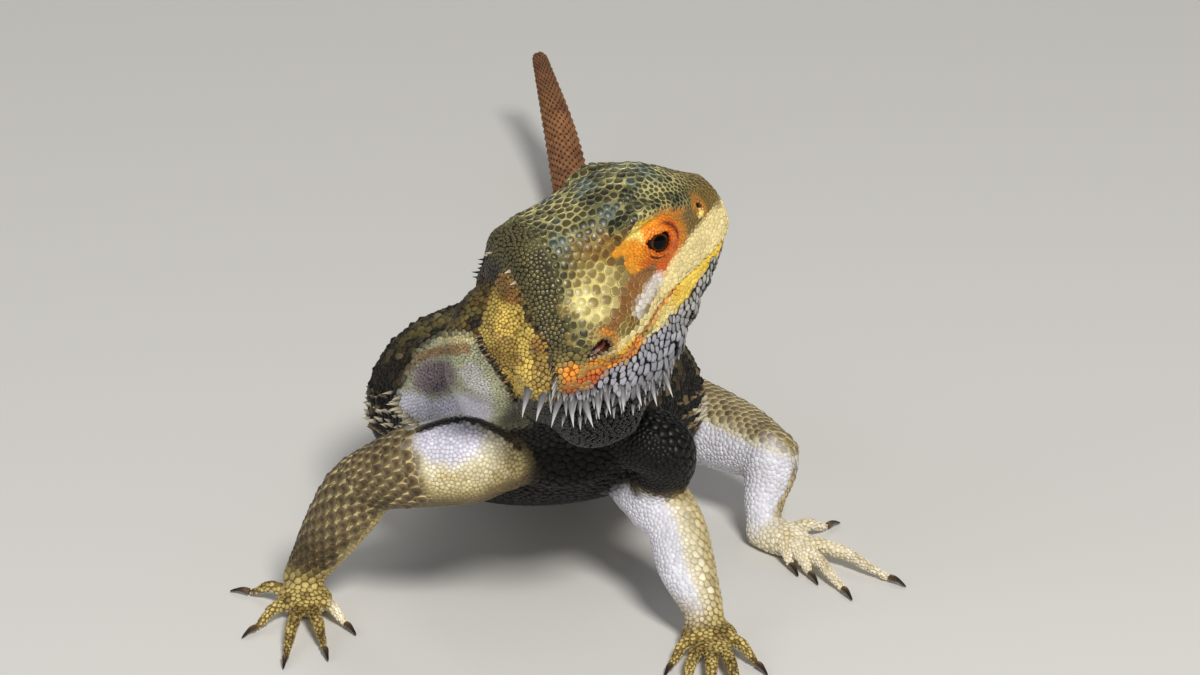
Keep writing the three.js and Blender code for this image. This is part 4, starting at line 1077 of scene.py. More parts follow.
# ------------------------------------------------------------------ the size of the scales, in mm from middle to middle
def head_size(p, n):
    h = world_to_head(p)
    nh = n @ HEAD_AXES.T
    x, y, z = h[:, 0], np.abs(h[:, 1]), h[:, 2]
    s = smoothstep(0.3, 0.6, np.abs(nh[:, 1]))
    vary = noise3(h, 0.5, 41) - 0.5
    S = 1.72 + 0.5 * vary
    S = S * (1 - 0.52 * smoothstep(1.8, -1.6, x + 2.2 - 0.2 * (z - 3.7))) * (1 - 0.36 * smoothstep(27, 34, x))
    plate = s * np.exp(-(((x - 7.6) / 5.0) ** 2 + ((z - 6.0) / 4.6) ** 2))
    S = S + 0.45 * plate
    S = S * (1 - 0.35 * s * smoothstep(14.5, 17.5, x))
    S = S * (1 - 0.40 * s * smoothstep(3.4, 1.6, seg_dist(x, z, 20.4, 1.2, 12.0, -1.6)))
    low_side = smoothstep(-4.6, -5.8, z + 0.06 * x) * smoothstep(15, 12, x)
    rr, fi = ring_polar(x, z)
    e = (y > 5)
    S = S * (1 - 0.42 * e * smoothstep(9.5, 6.6, rr))
    S = np.where(e & (rr < 6.2), 0.62, S)
    dm = z - mouth_z(x)
    S = np.where((dm < 6.8) & (dm > 0.0) & (x > 19) & (rr > 6.2), 0.95, S)
    S = np.where((np.abs(dm) < 1.8) & (x > 14), 1.15, S)
    S = np.where((s > 0.3) & (x > 25) & (dm >= 5.0), np.minimum(S, 0.95), S)
    b = smoothstep(0.5, -0.5, z - beard_z(x))
    S = S * (1 - low_side) + 1.05 * low_side
    S = S * (1 - b) + b * (1.35 + 0.9 * smoothstep(0, -8, z - beard_z(x)))
    jaw = (dm < -1.6) & (z > beard_z(x))
    S = np.where(jaw, 1.0, S)
    t = smoothstep(0.5, -2.0, z - rim_z(x))
    S = S * (1 - t) + t * 1.25
    S = np.where((nh[:, 2] < -0.5), np.minimum(S, 1.3), S)
    S = np.where(x < -6.8, 0.95, S)
    qe = ear_q(x, z)
    S = np.where((y > 12) & (qe < 2.2), 0.8, S)
    S = np.where((y > 3) & (nostril_q(x, z) < 3.0) & (x > 30), 0.6, S)
    return S


def size_of(p, n, w):
    out = np.zeros(len(p))
    for zi, zone in enumerate(ZONES):
        on = w[:, zi] > 0.004
        if not on.any():
            continue
        pp, nn = p[on], n[on]
        if zone == "head":
            S = head_size(pp, nn)
        elif zone == "neck":
            S = 1.35 - 0.69 * fine_skin(pp, nn)
        elif zone == "trunk":
            S = 1.75 - 1.03 * fine_skin(pp, nn)
        elif zone == "tail":
            S = np.interp(pp[:, 1], [105, 160, 240, 300, 327], [2.0, 1.9, 1.5, 1.1, 0.8])
        elif zone.startswith("hand"):
            S = np.full(len(pp), 1.05)
        elif zone.startswith("foot"):
            S = np.full(len(pp), 1.1)
        else:
            S = {"upper_arm_R": 0.84, "forearm_L": 0.92}.get(zone, 1.0) + {"forearm_L": 0.6, "upper_arm_R": 0.3}.get(zone, 1.0) * smoothstep(0.4, 0.75, limb_brown(pp, nn, zone))
        out[on] += w[on, zi] * S
    return out

# ------------------------------------------------------------------ where the scales stand
skin_size = size_of(P, N, W)
faces = [tuple(f.vertices) for f in skin_me.polygons]
bvh = BVHTree.FromPolygons(P.tolist(), faces)
tri_a, tri_b, tri_c = [], [], []
skin_me.calc_loop_triangles()
T = np.empty(len(skin_me.loop_triangles) * 3, np.int64)
skin_me.loop_triangles.foreach_get("vertices", T)
T = T.reshape(-1, 3)
area = 0.5 * np.linalg.norm(np.cross(P[T[:, 1]] - P[T[:, 0]], P[T[:, 2]] - P[T[:, 0]]), axis=1)
tri_size = skin_size[T].mean(1)
blocked = pit_mask[T].any(1)
floorish = P[T][:, :, 2].max(1) < 0.9  # what stands on the floor stays smooth
area_w = np.where(blocked | floorish, 0, area)


def nearest_values(points, *arrays):
    """The index of the skin's nearest corner to each point."""
    out = []
    vt = skin_tree
    idx = np.array([vt.find(c)[1] for c in points.tolist()])
    return idx


skin_tree = KDTree(len(P))
for i, c in enumerate(P.tolist()):
    skin_tree.insert(c, i)
skin_tree.balance()


def candidates(over):
    dens = over * area_w / (0.866 * tri_size ** 2)
    n = rng.poisson(dens)
    t = np.repeat(np.arange(len(T)), n)
    a, b = rng.rand(len(t)), rng.rand(len(t))
    f = a + b > 1
    a[f], b[f] = 1 - a[f], 1 - b[f]
    A, B, Cc = P[T[t, 0]], P[T[t, 1]], P[T[t, 2]]
    pts = A + (B - A) * a[:, None] + (Cc - A) * b[:, None]
    S = skin_size[T[t, 0]] * (1 - a - b) + skin_size[T[t, 1]] * a + skin_size[T[t, 2]] * b
    return pts, S


def near_pairs(pts, r):
    """All pairs closer than r, by a grid of cells."""
    c = np.floor(pts / r).astype(np.int64)
    c -= c.min(0) - 1
    m = c.max(0) + 3
    key = (c[:, 0] * m[1] + c[:, 1]) * m[2] + c[:, 2]
    order = np.argsort(key, kind="stable")
    sk = key[order]
    I, J = [], []
    for dx in (0, 1):
        for dy in (-1, 0, 1):
            for dz in (-1, 0, 1):
                if (dx, dy, dz) < (0, 0, 0):
                    continue
                off = (dx * m[1] + dy) * m[2] + dz
                lo_i = np.searchsorted(sk, sk + off, "left")
                hi_i = np.searchsorted(sk, sk + off, "right")
                if off == 0:
                    lo_i = np.arange(len(sk)) + 1
                n = np.maximum(hi_i - lo_i, 0)
                tot = n.sum()
                if not tot:
                    continue
                i = np.repeat(np.arange(len(sk)), n)
                j = np.arange(tot) - np.repeat(np.cumsum(n) - n, n) + np.repeat(lo_i, n)
                a, b = order[i], order[j]
                dd = ((pts[a] - pts[b]) ** 2).sum(1)
                ok = dd < r * r
                I.append(a[ok]); J.append(b[ok])
    return np.concatenate(I), np.concatenate(J)


def throw(pts, S, fixed_pts, fixed_S, tight=0.80):
    """Dart throwing with a radius that varies: large scales first."""
    keep_p, keep_s = [fixed_pts], [fixed_S]
    for lo_s, hi_s in ((1.55, 9.0), (1.0, 1.55), (0.0, 1.0)):
        sel = (S >= lo_s) & (S < hi_s)
        p, s = pts[sel], S[sel]
        if not len(p):
            continue
        base_p, base_s = np.vstack(keep_p), np.concatenate(keep_s)
        if len(base_p):
            kt = KDTree(len(base_p))
            for i, c in enumerate(base_p.tolist()):
                kt.insert(c, i)
            kt.balance()
            ok = np.ones(len(p), bool)
            for i, c in enumerate(p.tolist()):
                for _, j, dist in kt.find_n(c, 2):
                    if dist < 0.5 * tight * (s[i] + base_s[j]):
                        ok[i] = False
                        break
            p, s = p[ok], s[ok]
        if not len(p):
            continue
        I, J = near_pairs(p, tight * s.max())
        d2 = np.linalg.norm(p[I] - p[J], axis=1)
        ok = d2 < 0.5 * tight * (s[I] + s[J])
        I, J = I[ok], J[ok]
        pri = rng.permutation(len(p))
        state = np.zeros(len(p), np.int8)  # 0 open, 1 taken, 2 gone
        for _ in range(60):
            live = (state[I] == 0) & (state[J] == 0)
            I, J = I[live], J[live]
            lose = np.where(pri[I] < pri[J], J, I)
            beaten = np.zeros(len(p), bool)
            beaten[lose] = True
            new = (state == 0) & ~beaten
            state[new] = 1
            gone = np.zeros(len(p), bool)
            gone[J[new[I]]] = True
            gone[I[new[J]]] = True
            state[(state == 0) & gone] = 2
            if not (state == 0).any():
                break
        keep_p.append(p[state == 1]); keep_s.append(s[state == 1])
    return np.vstack(keep_p), np.concatenate(keep_s)


def lattice(shape, zone, around_n, first=0.0, last=1.0, size=None, turn=0.0):
    """Rows of scales round a limb or the tail, each row offset by half a scale."""
    rows_t, t = [], first
    length = np.linalg.norm(np.diff(catmull(shape.rows[:, :3], np.linspace(0, 1, 400)), axis=0), axis=1)
    arc = np.r_[0, np.cumsum(length)]
    at = np.linspace(0, 1, 400)
    s0, s1 = np.interp([first, last], at, arc)
    s = s0
    out_p, out_s = [], []
    k = 0
    while s < s1:
        tt = np.interp(s, arc, at)
        c, sz, tangent, side, top = shape.frames(np.array([tt]))
        girth = 2 * math.pi * sz[0].mean()
        n = around_n
        step = girth / n
        ang = (np.arange(n) + (0.5 if k % 2 else 0.0) + turn) * 2 * math.pi / n
        p, _ = shape.points(np.full(n, tt), ang)
        out_p.append(p)
        out_s.append(np.full(n, step))
        s += step * (1.05 if zone == "tail" else 0.88)
        k += 1
    p, sz = np.vstack(out_p), np.concatenate(out_s)
    q, ok = [], []
    zi = ZI[zone]
    for i, c in enumerate(p.tolist()):
        hit = bvh.find_nearest(c)
        q.append(hit[0][:])
        ok.append(hit[3] < COAT + 0.55)
    q = np.array(q)
    idx = np.array([skin_tree.find(c)[1] for c in q.tolist()])
    ok = np.array(ok) & (W[idx, zi] > 0.55) & (q[:, 2] > 0.5)
    if zone in BROWN:
        ok &= limb_brown(P[idx], N[idx], zone) > 0.55
    return q[ok], sz[ok]


shape_of = {s.name: s for s, _ in parts}
fixed = []
fixed.append(lattice(shape_of["tail"], "tail", 28, 0.02, 0.40))
fixed.append(lattice(shape_of["tail"], "tail", 22, 0.41, 0.70))
fixed.append(lattice(shape_of["tail"], "tail", 16, 0.71, 0.995))
for s in ("R", "L"):
    fixed.append(lattice(shape_of["upper_arm_" + s], "upper_arm_" + s, 21 if s == "R" else 22))
    if s == "R":
        fixed.append(lattice(shape_of["forearm_" + s], "forearm_" + s, 16))
    fixed.append(lattice(shape_of["thigh_" + s], "thigh_" + s, 25))
    fixed.append(lattice(shape_of["shin_" + s], "shin_" + s, 21))
    for i in range(5):
        fixed.append(lattice(shape_of["finger_%s_%d" % (s, i + 1)], "hand_" + s, 10, 0.35, 1.0))
        fixed.append(lattice(shape_of["toe_%s_%d" % (s, i + 1)], "foot_" + s, 11, 0.35, 1.0))
fp = np.vstack([f[0] for f in fixed])
fs = np.concatenate([f[1] for f in fixed])
# rows that run into each other where two lofts meet are thinned
I, J = near_pairs(fp, 0.62 * fs.max())
close = np.linalg.norm(fp[I] - fp[J], axis=1) < 0.62 * 0.5 * (fs[I] + fs[J])
drop = np.zeros(len(fp), bool)
drop[np.maximum(I[close], J[close])] = True
fp, fs = fp[~drop], fs[~drop]
clock("%d scales in rows" % len(fp))
cp, cs = candidates(7)
seed_p, seed_s = throw(cp, cs, fp, fs)
n_fixed = len(fp)
clock("%d scales in all from %d tries" % (len(seed_p), len(cp)))

# push them apart a little, so that they lie evenly
free = np.arange(len(seed_p)) >= n_fixed
for _ in range(4):
    I, J = near_pairs(seed_p, 1.25 * seed_s.max())
    dv = seed_p[I] - seed_p[J]
    dl = np.linalg.norm(dv, axis=1)
    want = 0.5 * (seed_s[I] + seed_s[J]) * 1.04
    m = (dl < want) & (dl > 1e-6)
    I, J, dv, dl, want = I[m], J[m], dv[m], dl[m], want[m]
    push = dv / dl[:, None] * ((want - dl) * 0.30)[:, None]
    mv = np.zeros_like(seed_p)
    for ax in range(3):
        mv[:, ax] += np.bincount(I, push[:, ax], len(seed_p)) - np.bincount(J, push[:, ax], len(seed_p))
    mv[~free] = 0
    ml = np.linalg.norm(mv, axis=1)
    mv *= np.minimum(1, 0.25 * seed_s / (ml + 1e-9))[:, None]
    moved = np.flatnonzero(ml > 1e-4)
    new = seed_p[moved] + mv[moved]
    seed_p[moved] = [bvh.find_nearest(c)[0][:] for c in new.tolist()]
sidx = np.array([skin_tree.find(c)[1] for c in seed_p.tolist()])
ok = ~pit_mask[sidx] & (seed_p[:, 2] > 0.45)
seed_p, seed_s, sidx = seed_p[ok], seed_s[ok], sidx[ok]
# a smoother normal than the skin's own, so that one scale lies flat
N_soft = unit(diffuse(N, 2))
seed_n, seed_w = N_soft[sidx], W[sidx]
seed_f = flow[sidx]
seed_f = unit(seed_f - seed_n * (seed_f * seed_n).sum(1, keepdims=True))
seed_zone = seed_w.argmax(1)
seed_own = own[sidx]
seed_mid, seed_rim = paint(seed_p, seed_n, seed_w)
seed_S = seed_s
NS = len(seed_p)
clock("%d scales placed" % NS)

# ------------------------------------------------------------------ the outline of each scale from its neighbours
KN = 10
kt = KDTree(NS)
for i, c in enumerate(seed_p.tolist()):
    kt.insert(c, i)
kt.balance()
nb = np.zeros((NS, KN), np.int64)
for i, c in enumerate(seed_p.tolist()):
    r = kt.find_n(c, KN + 1)
    nb[i] = [x[1] for x in r[1:]]
seed_b = np.cross(seed_n, seed_f)
dv = seed_p[nb] - seed_p[:, None]
du = (dv * seed_f[:, None]).sum(2)
dw = (dv * seed_b[:, None]).sum(2)
share = seed_S[:, None] / (seed_S[:, None] + seed_S[nb])
hh = world_to_head(seed_p)
hnh = seed_n @ HEAD_AXES.T


def cell_radii(sel, M):
    th = np.arange(M) * 2 * math.pi / M
    e = np.stack([np.cos(th), np.sin(th)])
    dot = du[sel][:, :, None] * e[0] + dw[sel][:, :, None] * e[1]
    d2 = (du[sel] ** 2 + dw[sel] ** 2)[:, :, None]
    r = np.where(dot > 1e-6, share[sel][:, :, None] * d2 / np.maximum(dot, 1e-6), 1e9).min(1)
    return np.minimum(r, np.where(browny[sel] < 0.6, 0.64, 0.74)[:, None] * seed_S[sel][:, None]), th


# looks of the scales by place
over = np.full(NS, 0.18)   # how far the free edge reaches over the next scale
tilt = np.full(NS, 0.45)   # how much the free edge stands higher than the root
thick = np.full(NS, 0.15)  # share of the size
dome = np.full(NS, 0.07)
keel = np.zeros(NS)
gap = np.full(NS, 0.95)
shine = np.full(NS, 0.5)
zname = np.array(ZONES)[seed_zone]


def where_zone(*names):
    return np.isin(zname, names)


hx, hy, hzz = hh[:, 0], np.abs(hh[:, 1]), hh[:, 2]
zh = where_zone("head")
h_b = zh & (hzz < beard_z(hx)) & (hx > -7)
h_t = zh & ((hzz < rim_z(hx)) | ((hnh[:, 2] < -0.45) & (hzz < -6)))
h_lid = zh & (ring_polar(hx, hzz)[0] < 6.3) & (hy > 6)
over[zh], tilt[zh], thick[zh], dome[zh], gap[zh] = 0.02, 0.12, 0.15, 0.06, 0.985
h_rear = zh & (hx < -0.6 + 0.2 * (hzz - 3.7)) & (hzz > -5)
thick[h_rear], dome[h_rear], gap[h_rear] = 0.22, 0.12, 0.96
over[h_b], tilt[h_b], thick[h_b], dome[h_b], keel[h_b], gap[h_b] = 0.56, 0.92, 0.26, 0.04, 0.14, 0.90
over[h_t], tilt[h_t], thick[h_t], dome[h_t], keel[h_t], gap[h_t] = 0.10, 0.55, 0.30, 0.16, 0.05, 0.90
over[h_lid], tilt[h_lid], thick[h_lid], dome[h_lid], gap[h_lid] = 0.0, 0.1, 0.09, 0.08, 0.93
h_lab = zh & (np.abs(hzz - mouth_z(hx)) < 7) & (hx > 19) & ~h_b & ~h_lid
thick[h_lab], dome[h_lab], tilt[h_lab] = 0.10, 0.07, 0.1
h_back = zh & (hx < -6.8)
over[h_back], tilt[h_back], thick[h_back], dome[h_back], gap[h_back] = 0.10, 0.45, 0.18, 0.10, 0.97
zn_ = where_zone("neck")
over[zn_], tilt[zn_], thick[zn_], dome[zn_], gap[zn_] = 0.10, 0.45, 0.17, 0.10, 0.97
ztr = where_zone("trunk")
up_ = seed_n[:, 2]
rough_back = ztr & (up_ > -0.1)
over[rough_back], tilt[rough_back], thick[rough_back], keel[rough_back] = 0.22, 0.65, 0.20, 0.14
big_one = rough_back & (rng.rand(NS) < 0.07) & (seed_S > 1.3)
over[big_one], tilt[big_one], thick[big_one], keel[big_one] = 0.55, 1.0, 0.42, 0.30
big_lit = big_one & (rng.rand(NS) < 0.35)
seed_rim[big_lit] = mix(seed_rim[big_lit], lin(176, 160, 122), np.full(big_lit.sum(), 0.55))
seed_mid[big_lit] = mix(seed_mid[big_lit], lin(140, 120, 84), np.full(big_lit.sum(), 0.4))
fine_front = ztr & (fine_skin(seed_p, seed_n) > 0.5)
over[fine_front], tilt[fine_front], thick[fine_front], keel[fine_front], dome[fine_front], gap[fine_front] = 0.10, 0.45, 0.16, 0.0, 0.08, 0.97
zta = where_zone("tail")
over[zta], tilt[zta], thick[zta], keel[zta], gap[zta] = 0.42, 0.85, 0.17, 0.30, 0.92
limbs = np.char.find(zname, "arm") >= 0
legs = (np.char.find(zname, "thigh") >= 0) | (np.char.find(zname, "shin") >= 0)
browny = np.zeros(NS)
for zone, D in BROWN.items():
    m = where_zone(zone)
    browny[m] = limb_brown(seed_p[m], seed_n[m], zone)
m = limbs | legs
over[m] = 0.10 + 0.26 * browny[m]
tilt[m] = 0.35 + 0.45 * browny[m]
thick[m] = 0.11 + 0.07 * browny[m]
keel[m] = 0.10 * browny[m]
zhf = (np.char.find(zname, "hand") >= 0) | (np.char.find(zname, "foot") >= 0)
over[zhf], tilt[zhf], thick[zhf], dome[zhf] = 0.16, 0.6, 0.18, 0.08
below = (up_ < -0.5) & ~zh
tilt[below] *= 0.6
thick[below] *= 0.75

val = 1 + 0.24 * (rng.rand(NS) - 0.5) + 0.16 * (rng.rand(NS) > 0.86)
val = val + np.where(h_b, 0.34 * (rng.rand(NS) - 0.6), 0)
seed_mid = np.clip(seed_mid * val[:, None], 0, 1)
seed_rim = np.clip(seed_rim * (1 + 0.5 * (val - 1))[:, None], 0, 1)


# ------------------------------------------------------------------ an unwrap of the skin for the scales' bake map
CHARTS = {"head": (0.0, 0.0, 0.40, 0.36), "neck": (0.0, 0.37, 0.20, 0.20), "trunk": (0.41, 0.0, 0.58, 0.46), "tail": (0.0, 0.58, 0.60, 0.20)}
k = 0
for z_ in ZONES[4:]:
    CHARTS[z_] = (0.0 + 0.166 * (k % 6), 0.80 + 0.10 * (k // 6), 0.155, 0.09)
    k += 1


def chart_uv(p, n, zones, own_i):
    uv = np.zeros((len(p), 2))
    for zi, zone in enumerate(ZONES):
        m = zones == zi
        if not m.any():
            continue
        x0, y0, w_, h_ = CHARTS[zone]
        if zone == "head":
            h = world_to_head(p[m])
            a = np.clip((h[:, 0] + 16) / 60, 0, 1)
            b = (np.arctan2(h[:, 1], h[:, 2] - 0.5) / (2 * math.pi)) + 0.5
        elif zone.startswith(("hand", "foot")):
            q = p[m]
            lo_, hi_ = q.min(0), q.max(0) + 1e-6
            a = (q[:, 0] - lo_[0]) / (hi_[0] - lo_[0])
            b = (q[:, 1] - lo_[1]) / (hi_[1] - lo_[1])
            a = np.where(n[m][:, 2] > 0, a * 0.49, 0.51 + a * 0.49)
        else:
            a, b = ST[own_i[m]], SA[own_i[m]] / (2 * math.pi)
            if zone == "trunk" or zone == "neck" or zone == "tail":
                lo_, hi_ = a.min(), a.max() + 1e-6
                a = (a - lo_) / (hi_ - lo_)
        uv[m, 0] = x0 + w_ * a
        uv[m, 1] = y0 + h_ * (b % 1.0)
    return uv


# the samples of the lofts are rings; the spread of a scale's place within its cell is set to nothing, so each keeps its
# place
seed_uv = chart_uv(seed_p, seed_n, seed_zone, seed_own)
jit = (seed_p @ np.array([[0.9, 0.2], [0.3, 0.8], [-0.2, 0.6]])) * 0.0
seed_uv = np.clip(seed_uv + jit, 0.002, 0.998)
PATCH = 0.0015


def build_piece(name, sel, M, plates=False):
    """The scales of sel as one joined mesh: sunk base, raised top, closed below."""
    n = len(sel)
    r, th = cell_radii(sel, M)
    S = seed_S[sel][:, None]
    o = over[sel][:, None]
    ct = np.cos(th)[None]
    reach = 1 + o * np.clip(ct, 0, 1) ** 1.5
    pointy = 1 - 0.35 * np.clip(o, 0, 1) * np.clip(1 - np.abs(ct), 0, 1) * (ct > 0)
    r = r * gap[sel][:, None]
    Ht = (thick[sel] * seed_S[sel])[:, None]
    ti = tilt[sel][:, None]
    rise = (1 - ti) + ti * (0.5 + 0.5 * ct)
    wob = rng.normal(0, 0.05, (n, 3))
    nn = unit(seed_n[sel] + wob)
    f = unit(seed_f[sel] - nn * (seed_f[sel] * nn).sum(1, keepdims=True))
    b = np.cross(nn, f)
    c0 = seed_p[sel]

    def ring(rho, z, wide=1.0):
        rr = r * rho * wide
        return c0[:, None] + f[:, None] * (rr * np.cos(th))[:, :, None] + b[:, None] * (rr * np.sin(th))[:, :, None] + nn[:, None] * np.broadcast_to(z, rr.shape)[:, :, None]

    sag = (r ** 2) / (2 * 9.0)  # the skin curves away under a wide scale
    V_, U_, K_ = [], [], []
    base = ring(1.0, -0.20 * S - sag)
    V_.append(base); U_.append(1.0); K_.append("base")
    if plates:
        V_.append(ring(0.98, 0.60 * Ht * rise - sag, reach * pointy)); U_.append(0.98); K_.append("rim")
        V_.append(ring(0.93, 1.0 * Ht * rise - 0.6 * sag, reach * pointy)); U_.append(0.93); K_.append("rim2")
        V_.append(ring(0.79, Ht * ((1 - ti) + ti * (0.5 + 0.40 * ct)) + 0.5 * dome[sel][:, None] * S - 0.4 * sag, reach * pointy)); U_.append(0.42); K_.append("mid")
    else:
        V_.append(ring(0.96, Ht * rise - sag, reach * pointy)); U_.append(0.96); K_.append("rim")
        inner = np.where(seed_mid[sel].mean(1) < seed_rim[sel].mean(1), 0.885, 0.82)[:, None]  # dark scales have a fine pale edge
        V_.append(ring(inner, Ht * ((1 - ti) + ti * (0.5 + 0.46 * ct)) + (0.5 * dome[sel] * seed_S[sel])[:, None] - 0.5 * sag, reach * (0.5 + 0.5 * pointy))); U_.append(0.74); K_.append("mid")
    zc = (thick[sel] * seed_S[sel]) * (1 - 0.5 * tilt[sel]) + (dome[sel] + keel[sel]) * seed_S[sel]
    centre = c0 + nn * zc[:, None] + f * (0.12 * seed_S[sel] * over[sel])[:, None]
    R = len(V_)
    per = R * M + 1
    co = np.zeros((n, per, 3))
    col = np.zeros((n, per, 4))
    uv = np.zeros((n, per, 2))
    mid, rim = seed_mid[sel], seed_rim[sel]
    for j, (vv, uu, kk) in enumerate(zip(V_, U_, K_)):
        s_ = slice(j * M, (j + 1) * M)
        co[:, s_] = vv
        cc = {"base": rim * np.where(mid.mean(1) > rim.mean(1), 0.60, 0.32)[:, None], "rim": rim * 0.70 if plates else rim, "rim2": rim, "mid": mid}[kk]
        col[:, s_, :3] = cc[:, None]
        if kk == "mid" and not plates:
            col[:, s_, :3] = (0.8 * mid + 0.2 * rim)[:, None]
        uv[:, s_, 0] = seed_uv[sel][:, 0:1] + PATCH * uu * np.cos(th)
        uv[:, s_, 1] = seed_uv[sel][:, 1:2] + PATCH * uu * np.sin(th)
    if keel[sel].max() > 0:  # the keel runs as a lighter line to the tip
        kk = (keel[sel] > 0.05)[:, None, None]
        last = (R - 1) * M
        col[:, last:last + 1, :3] = np.where(kk, (0.5 * mid + 0.5 * rim)[:, None], col[:, last:last + 1, :3])
    co[:, -1] = centre
    col[:, -1, :3] = mid
    uv[:, -1] = seed_uv[sel]
    col[:, :, 3] = shine[sel][:, None]
    tris = []
    m0 = np.arange(M)
    m1 = (m0 + 1) % M
    for j in range(R - 1):
        a, b_, c_, d_ = j * M + m0, j * M + m1, (j + 1) * M + m1, (j + 1) * M + m0
        tris += [np.stack([a, b_, c_], 1), np.stack([a, c_, d_], 1)]
    tris.append(np.stack([(R - 1) * M + m0, (R - 1) * M + m1, np.full(M, per - 1)], 1))
    k = np.arange(1, M - 1)
    tris.append(np.stack([np.zeros(M - 2, int), k + 1, k], 1))
    tris = np.vstack(tris)
    F = (tris[None] + (np.arange(n) * per)[:, None, None]).reshape(-1, 3)
    return make_mesh(name, co.reshape(-1, 3), F, col.reshape(-1, 4), uv.reshape(-1, 2))


def make_mesh(name, co, F, col, uv=None, smooth=True):
    me = bpy.data.meshes.new(name)
    F = np.asarray(F, np.int64)
    co = np.array(co, float)  # what lies on the floor is pressed flat against it
    low = co[:, 2] < 0.3
    co[low, 2] = 0.04 + 0.26 * np.exp((co[low, 2] - 0.3) / 0.26)
    k = F.shape[1]
    me.vertices.add(len(co))
    me.vertices.foreach_set("co", to_m(co).ravel())
    me.loops.add(F.size)
    me.loops.foreach_set("vertex_index", F.ravel().astype(np.int32))
    me.polygons.add(len(F))
    me.polygons.foreach_set("loop_start", np.arange(0, F.size, k, dtype=np.int32))
    me.polygons.foreach_set("use_smooth", np.full(len(F), smooth))
    a = me.attributes.new("Col", "FLOAT_COLOR", "POINT")
    if col.shape[1] == 3:
        col = np.c_[col, np.full(len(col), 0.5)]
    a.data.foreach_set("color", col.astype(np.float32).ravel())
    if uv is not None:
        l = me.uv_layers.new(name="OFBake")
        l.data.foreach_set("uv", uv[F.ravel()].astype(np.float32).ravel())
    me.update(calc_edges=True)
    me.validate()
    ob = bpy.data.objects.new(name, me)
    bpy.context.scene.collection.objects.link(ob)
    return ob


# ------------------------------------------------------------------ finishes
def material(name, rough=(0.45, 0.65), grain=900.0, bump=0.25, vary=0.18, coat=0.0, coat_rough=0.2, bump_dist=0.0002, blotch=120.0, specular=0.5):
    """Painted by the Col attribute, with noise over its colour, roughness and relief."""
    m = bpy.data.materials.new(name)
    m.use_nodes = True
    nt = m.node_tree
    nt.nodes.clear()
    out = nt.nodes.new("ShaderNodeOutputMaterial")
    bs = nt.nodes.new("ShaderNodeBsdfPrincipled")
    nt.links.new(bs.outputs[0], out.inputs[0])
    at = nt.nodes.new("ShaderNodeAttribute")
    at.attribute_name = "Col"
    tc = nt.nodes.new("ShaderNodeTexCoord")
    n1 = nt.nodes.new("ShaderNodeTexNoise")
    n1.inputs["Scale"].default_value = blotch
    n1.inputs["Detail"].default_value = 4.0
    n2 = nt.nodes.new("ShaderNodeTexNoise")
    n2.inputs["Scale"].default_value = grain
    n2.inputs["Detail"].default_value = 3.0
    nt.links.new(tc.outputs["Object"], n1.inputs["Vector"])
    nt.links.new(tc.outputs["Object"], n2.inputs["Vector"])
    mr = nt.nodes.new("ShaderNodeMapRange")
    mr.inputs["From Min"].default_value = 0.3
    mr.inputs["From Max"].default_value = 0.7
    mr.inputs["To Min"].default_value = 1 - vary
    mr.inputs["To Max"].default_value = 1 + vary
    nt.links.new(n1.outputs["Fac"], mr.inputs["Value"])
    m2 = nt.nodes.new("ShaderNodeMapRange")
    m2.inputs["From Min"].default_value = 0.3
    m2.inputs["From Max"].default_value = 0.7
    m2.inputs["To Min"].default_value = 1 - 0.5 * vary
    m2.inputs["To Max"].default_value = 1 + 0.5 * vary
    nt.links.new(n2.outputs["Fac"], m2.inputs["Value"])
    mu = nt.nodes.new("ShaderNodeMath")
    mu.operation = "MULTIPLY"
    nt.links.new(mr.outputs[0], mu.inputs[0])
    nt.links.new(m2.outputs[0], mu.inputs[1])
    vm = nt.nodes.new("ShaderNodeVectorMath")
    vm.operation = "SCALE"
    nt.links.new(at.outputs["Color"], vm.inputs[0])
    nt.links.new(mu.outputs[0], vm.inputs["Scale"])
    nt.links.new(vm.outputs[0], bs.inputs["Base Color"])
    m3 = nt.nodes.new("ShaderNodeMapRange")
    m3.inputs["From Min"].default_value = 0.3
    m3.inputs["From Max"].default_value = 0.7
    m3.inputs["To Min"].default_value = rough[0]
    m3.inputs["To Max"].default_value = rough[1]
    nt.links.new(n2.outputs["Fac"], m3.inputs["Value"])
    nt.links.new(m3.outputs[0], bs.inputs["Roughness"])
    bp = nt.nodes.new("ShaderNodeBump")
    bp.inputs["Strength"].default_value = bump
    bp.inputs["Distance"].default_value = bump_dist
    nt.links.new(n2.outputs["Fac"], bp.inputs["Height"])
    nt.links.new(bp.outputs[0], bs.inputs["Normal"])
    bs.inputs["Coat Weight"].default_value = coat
    bs.inputs["Coat Roughness"].default_value = coat_rough
    bs.inputs["Specular IOR Level"].default_value = specular
    return m


M_SKIN = material("skin", (0.50, 0.70), grain=1400, bump=0.5, vary=0.16, specular=0.20)
M_HEAD = material("scales_head", (0.28, 0.46), grain=1500, bump=0.35, vary=0.16)
M_BEARD = material("scales_beard", (0.24, 0.42), grain=1500, bump=0.35, vary=0.16)
M_THROAT = material("scales_throat", (0.16, 0.30), grain=1500, bump=0.3, vary=0.2, specular=0.40)
M_NECK = material("scales_neck", (0.40, 0.58), grain=1500, bump=0.3, vary=0.18, specular=0.30)
M_BACK = material("scales_trunk", (0.45, 0.66), grain=1200, bump=0.4, vary=0.22, specular=0.20)
M_TAIL = material("scales_tail", (0.44, 0.62), grain=1200, bump=0.4, vary=0.2, specular=0.30)
M_LIMB = material("scales_limb", (0.40, 0.56), grain=1300, bump=0.3, vary=0.12, specular=0.30)
M_HORN = material("horn", (0.28, 0.42), grain=1600, bump=0.3, vary=0.14, specular=0.40)
M_CLAW = material("claw", (0.16, 0.30), grain=1800, bump=0.2, vary=0.2)
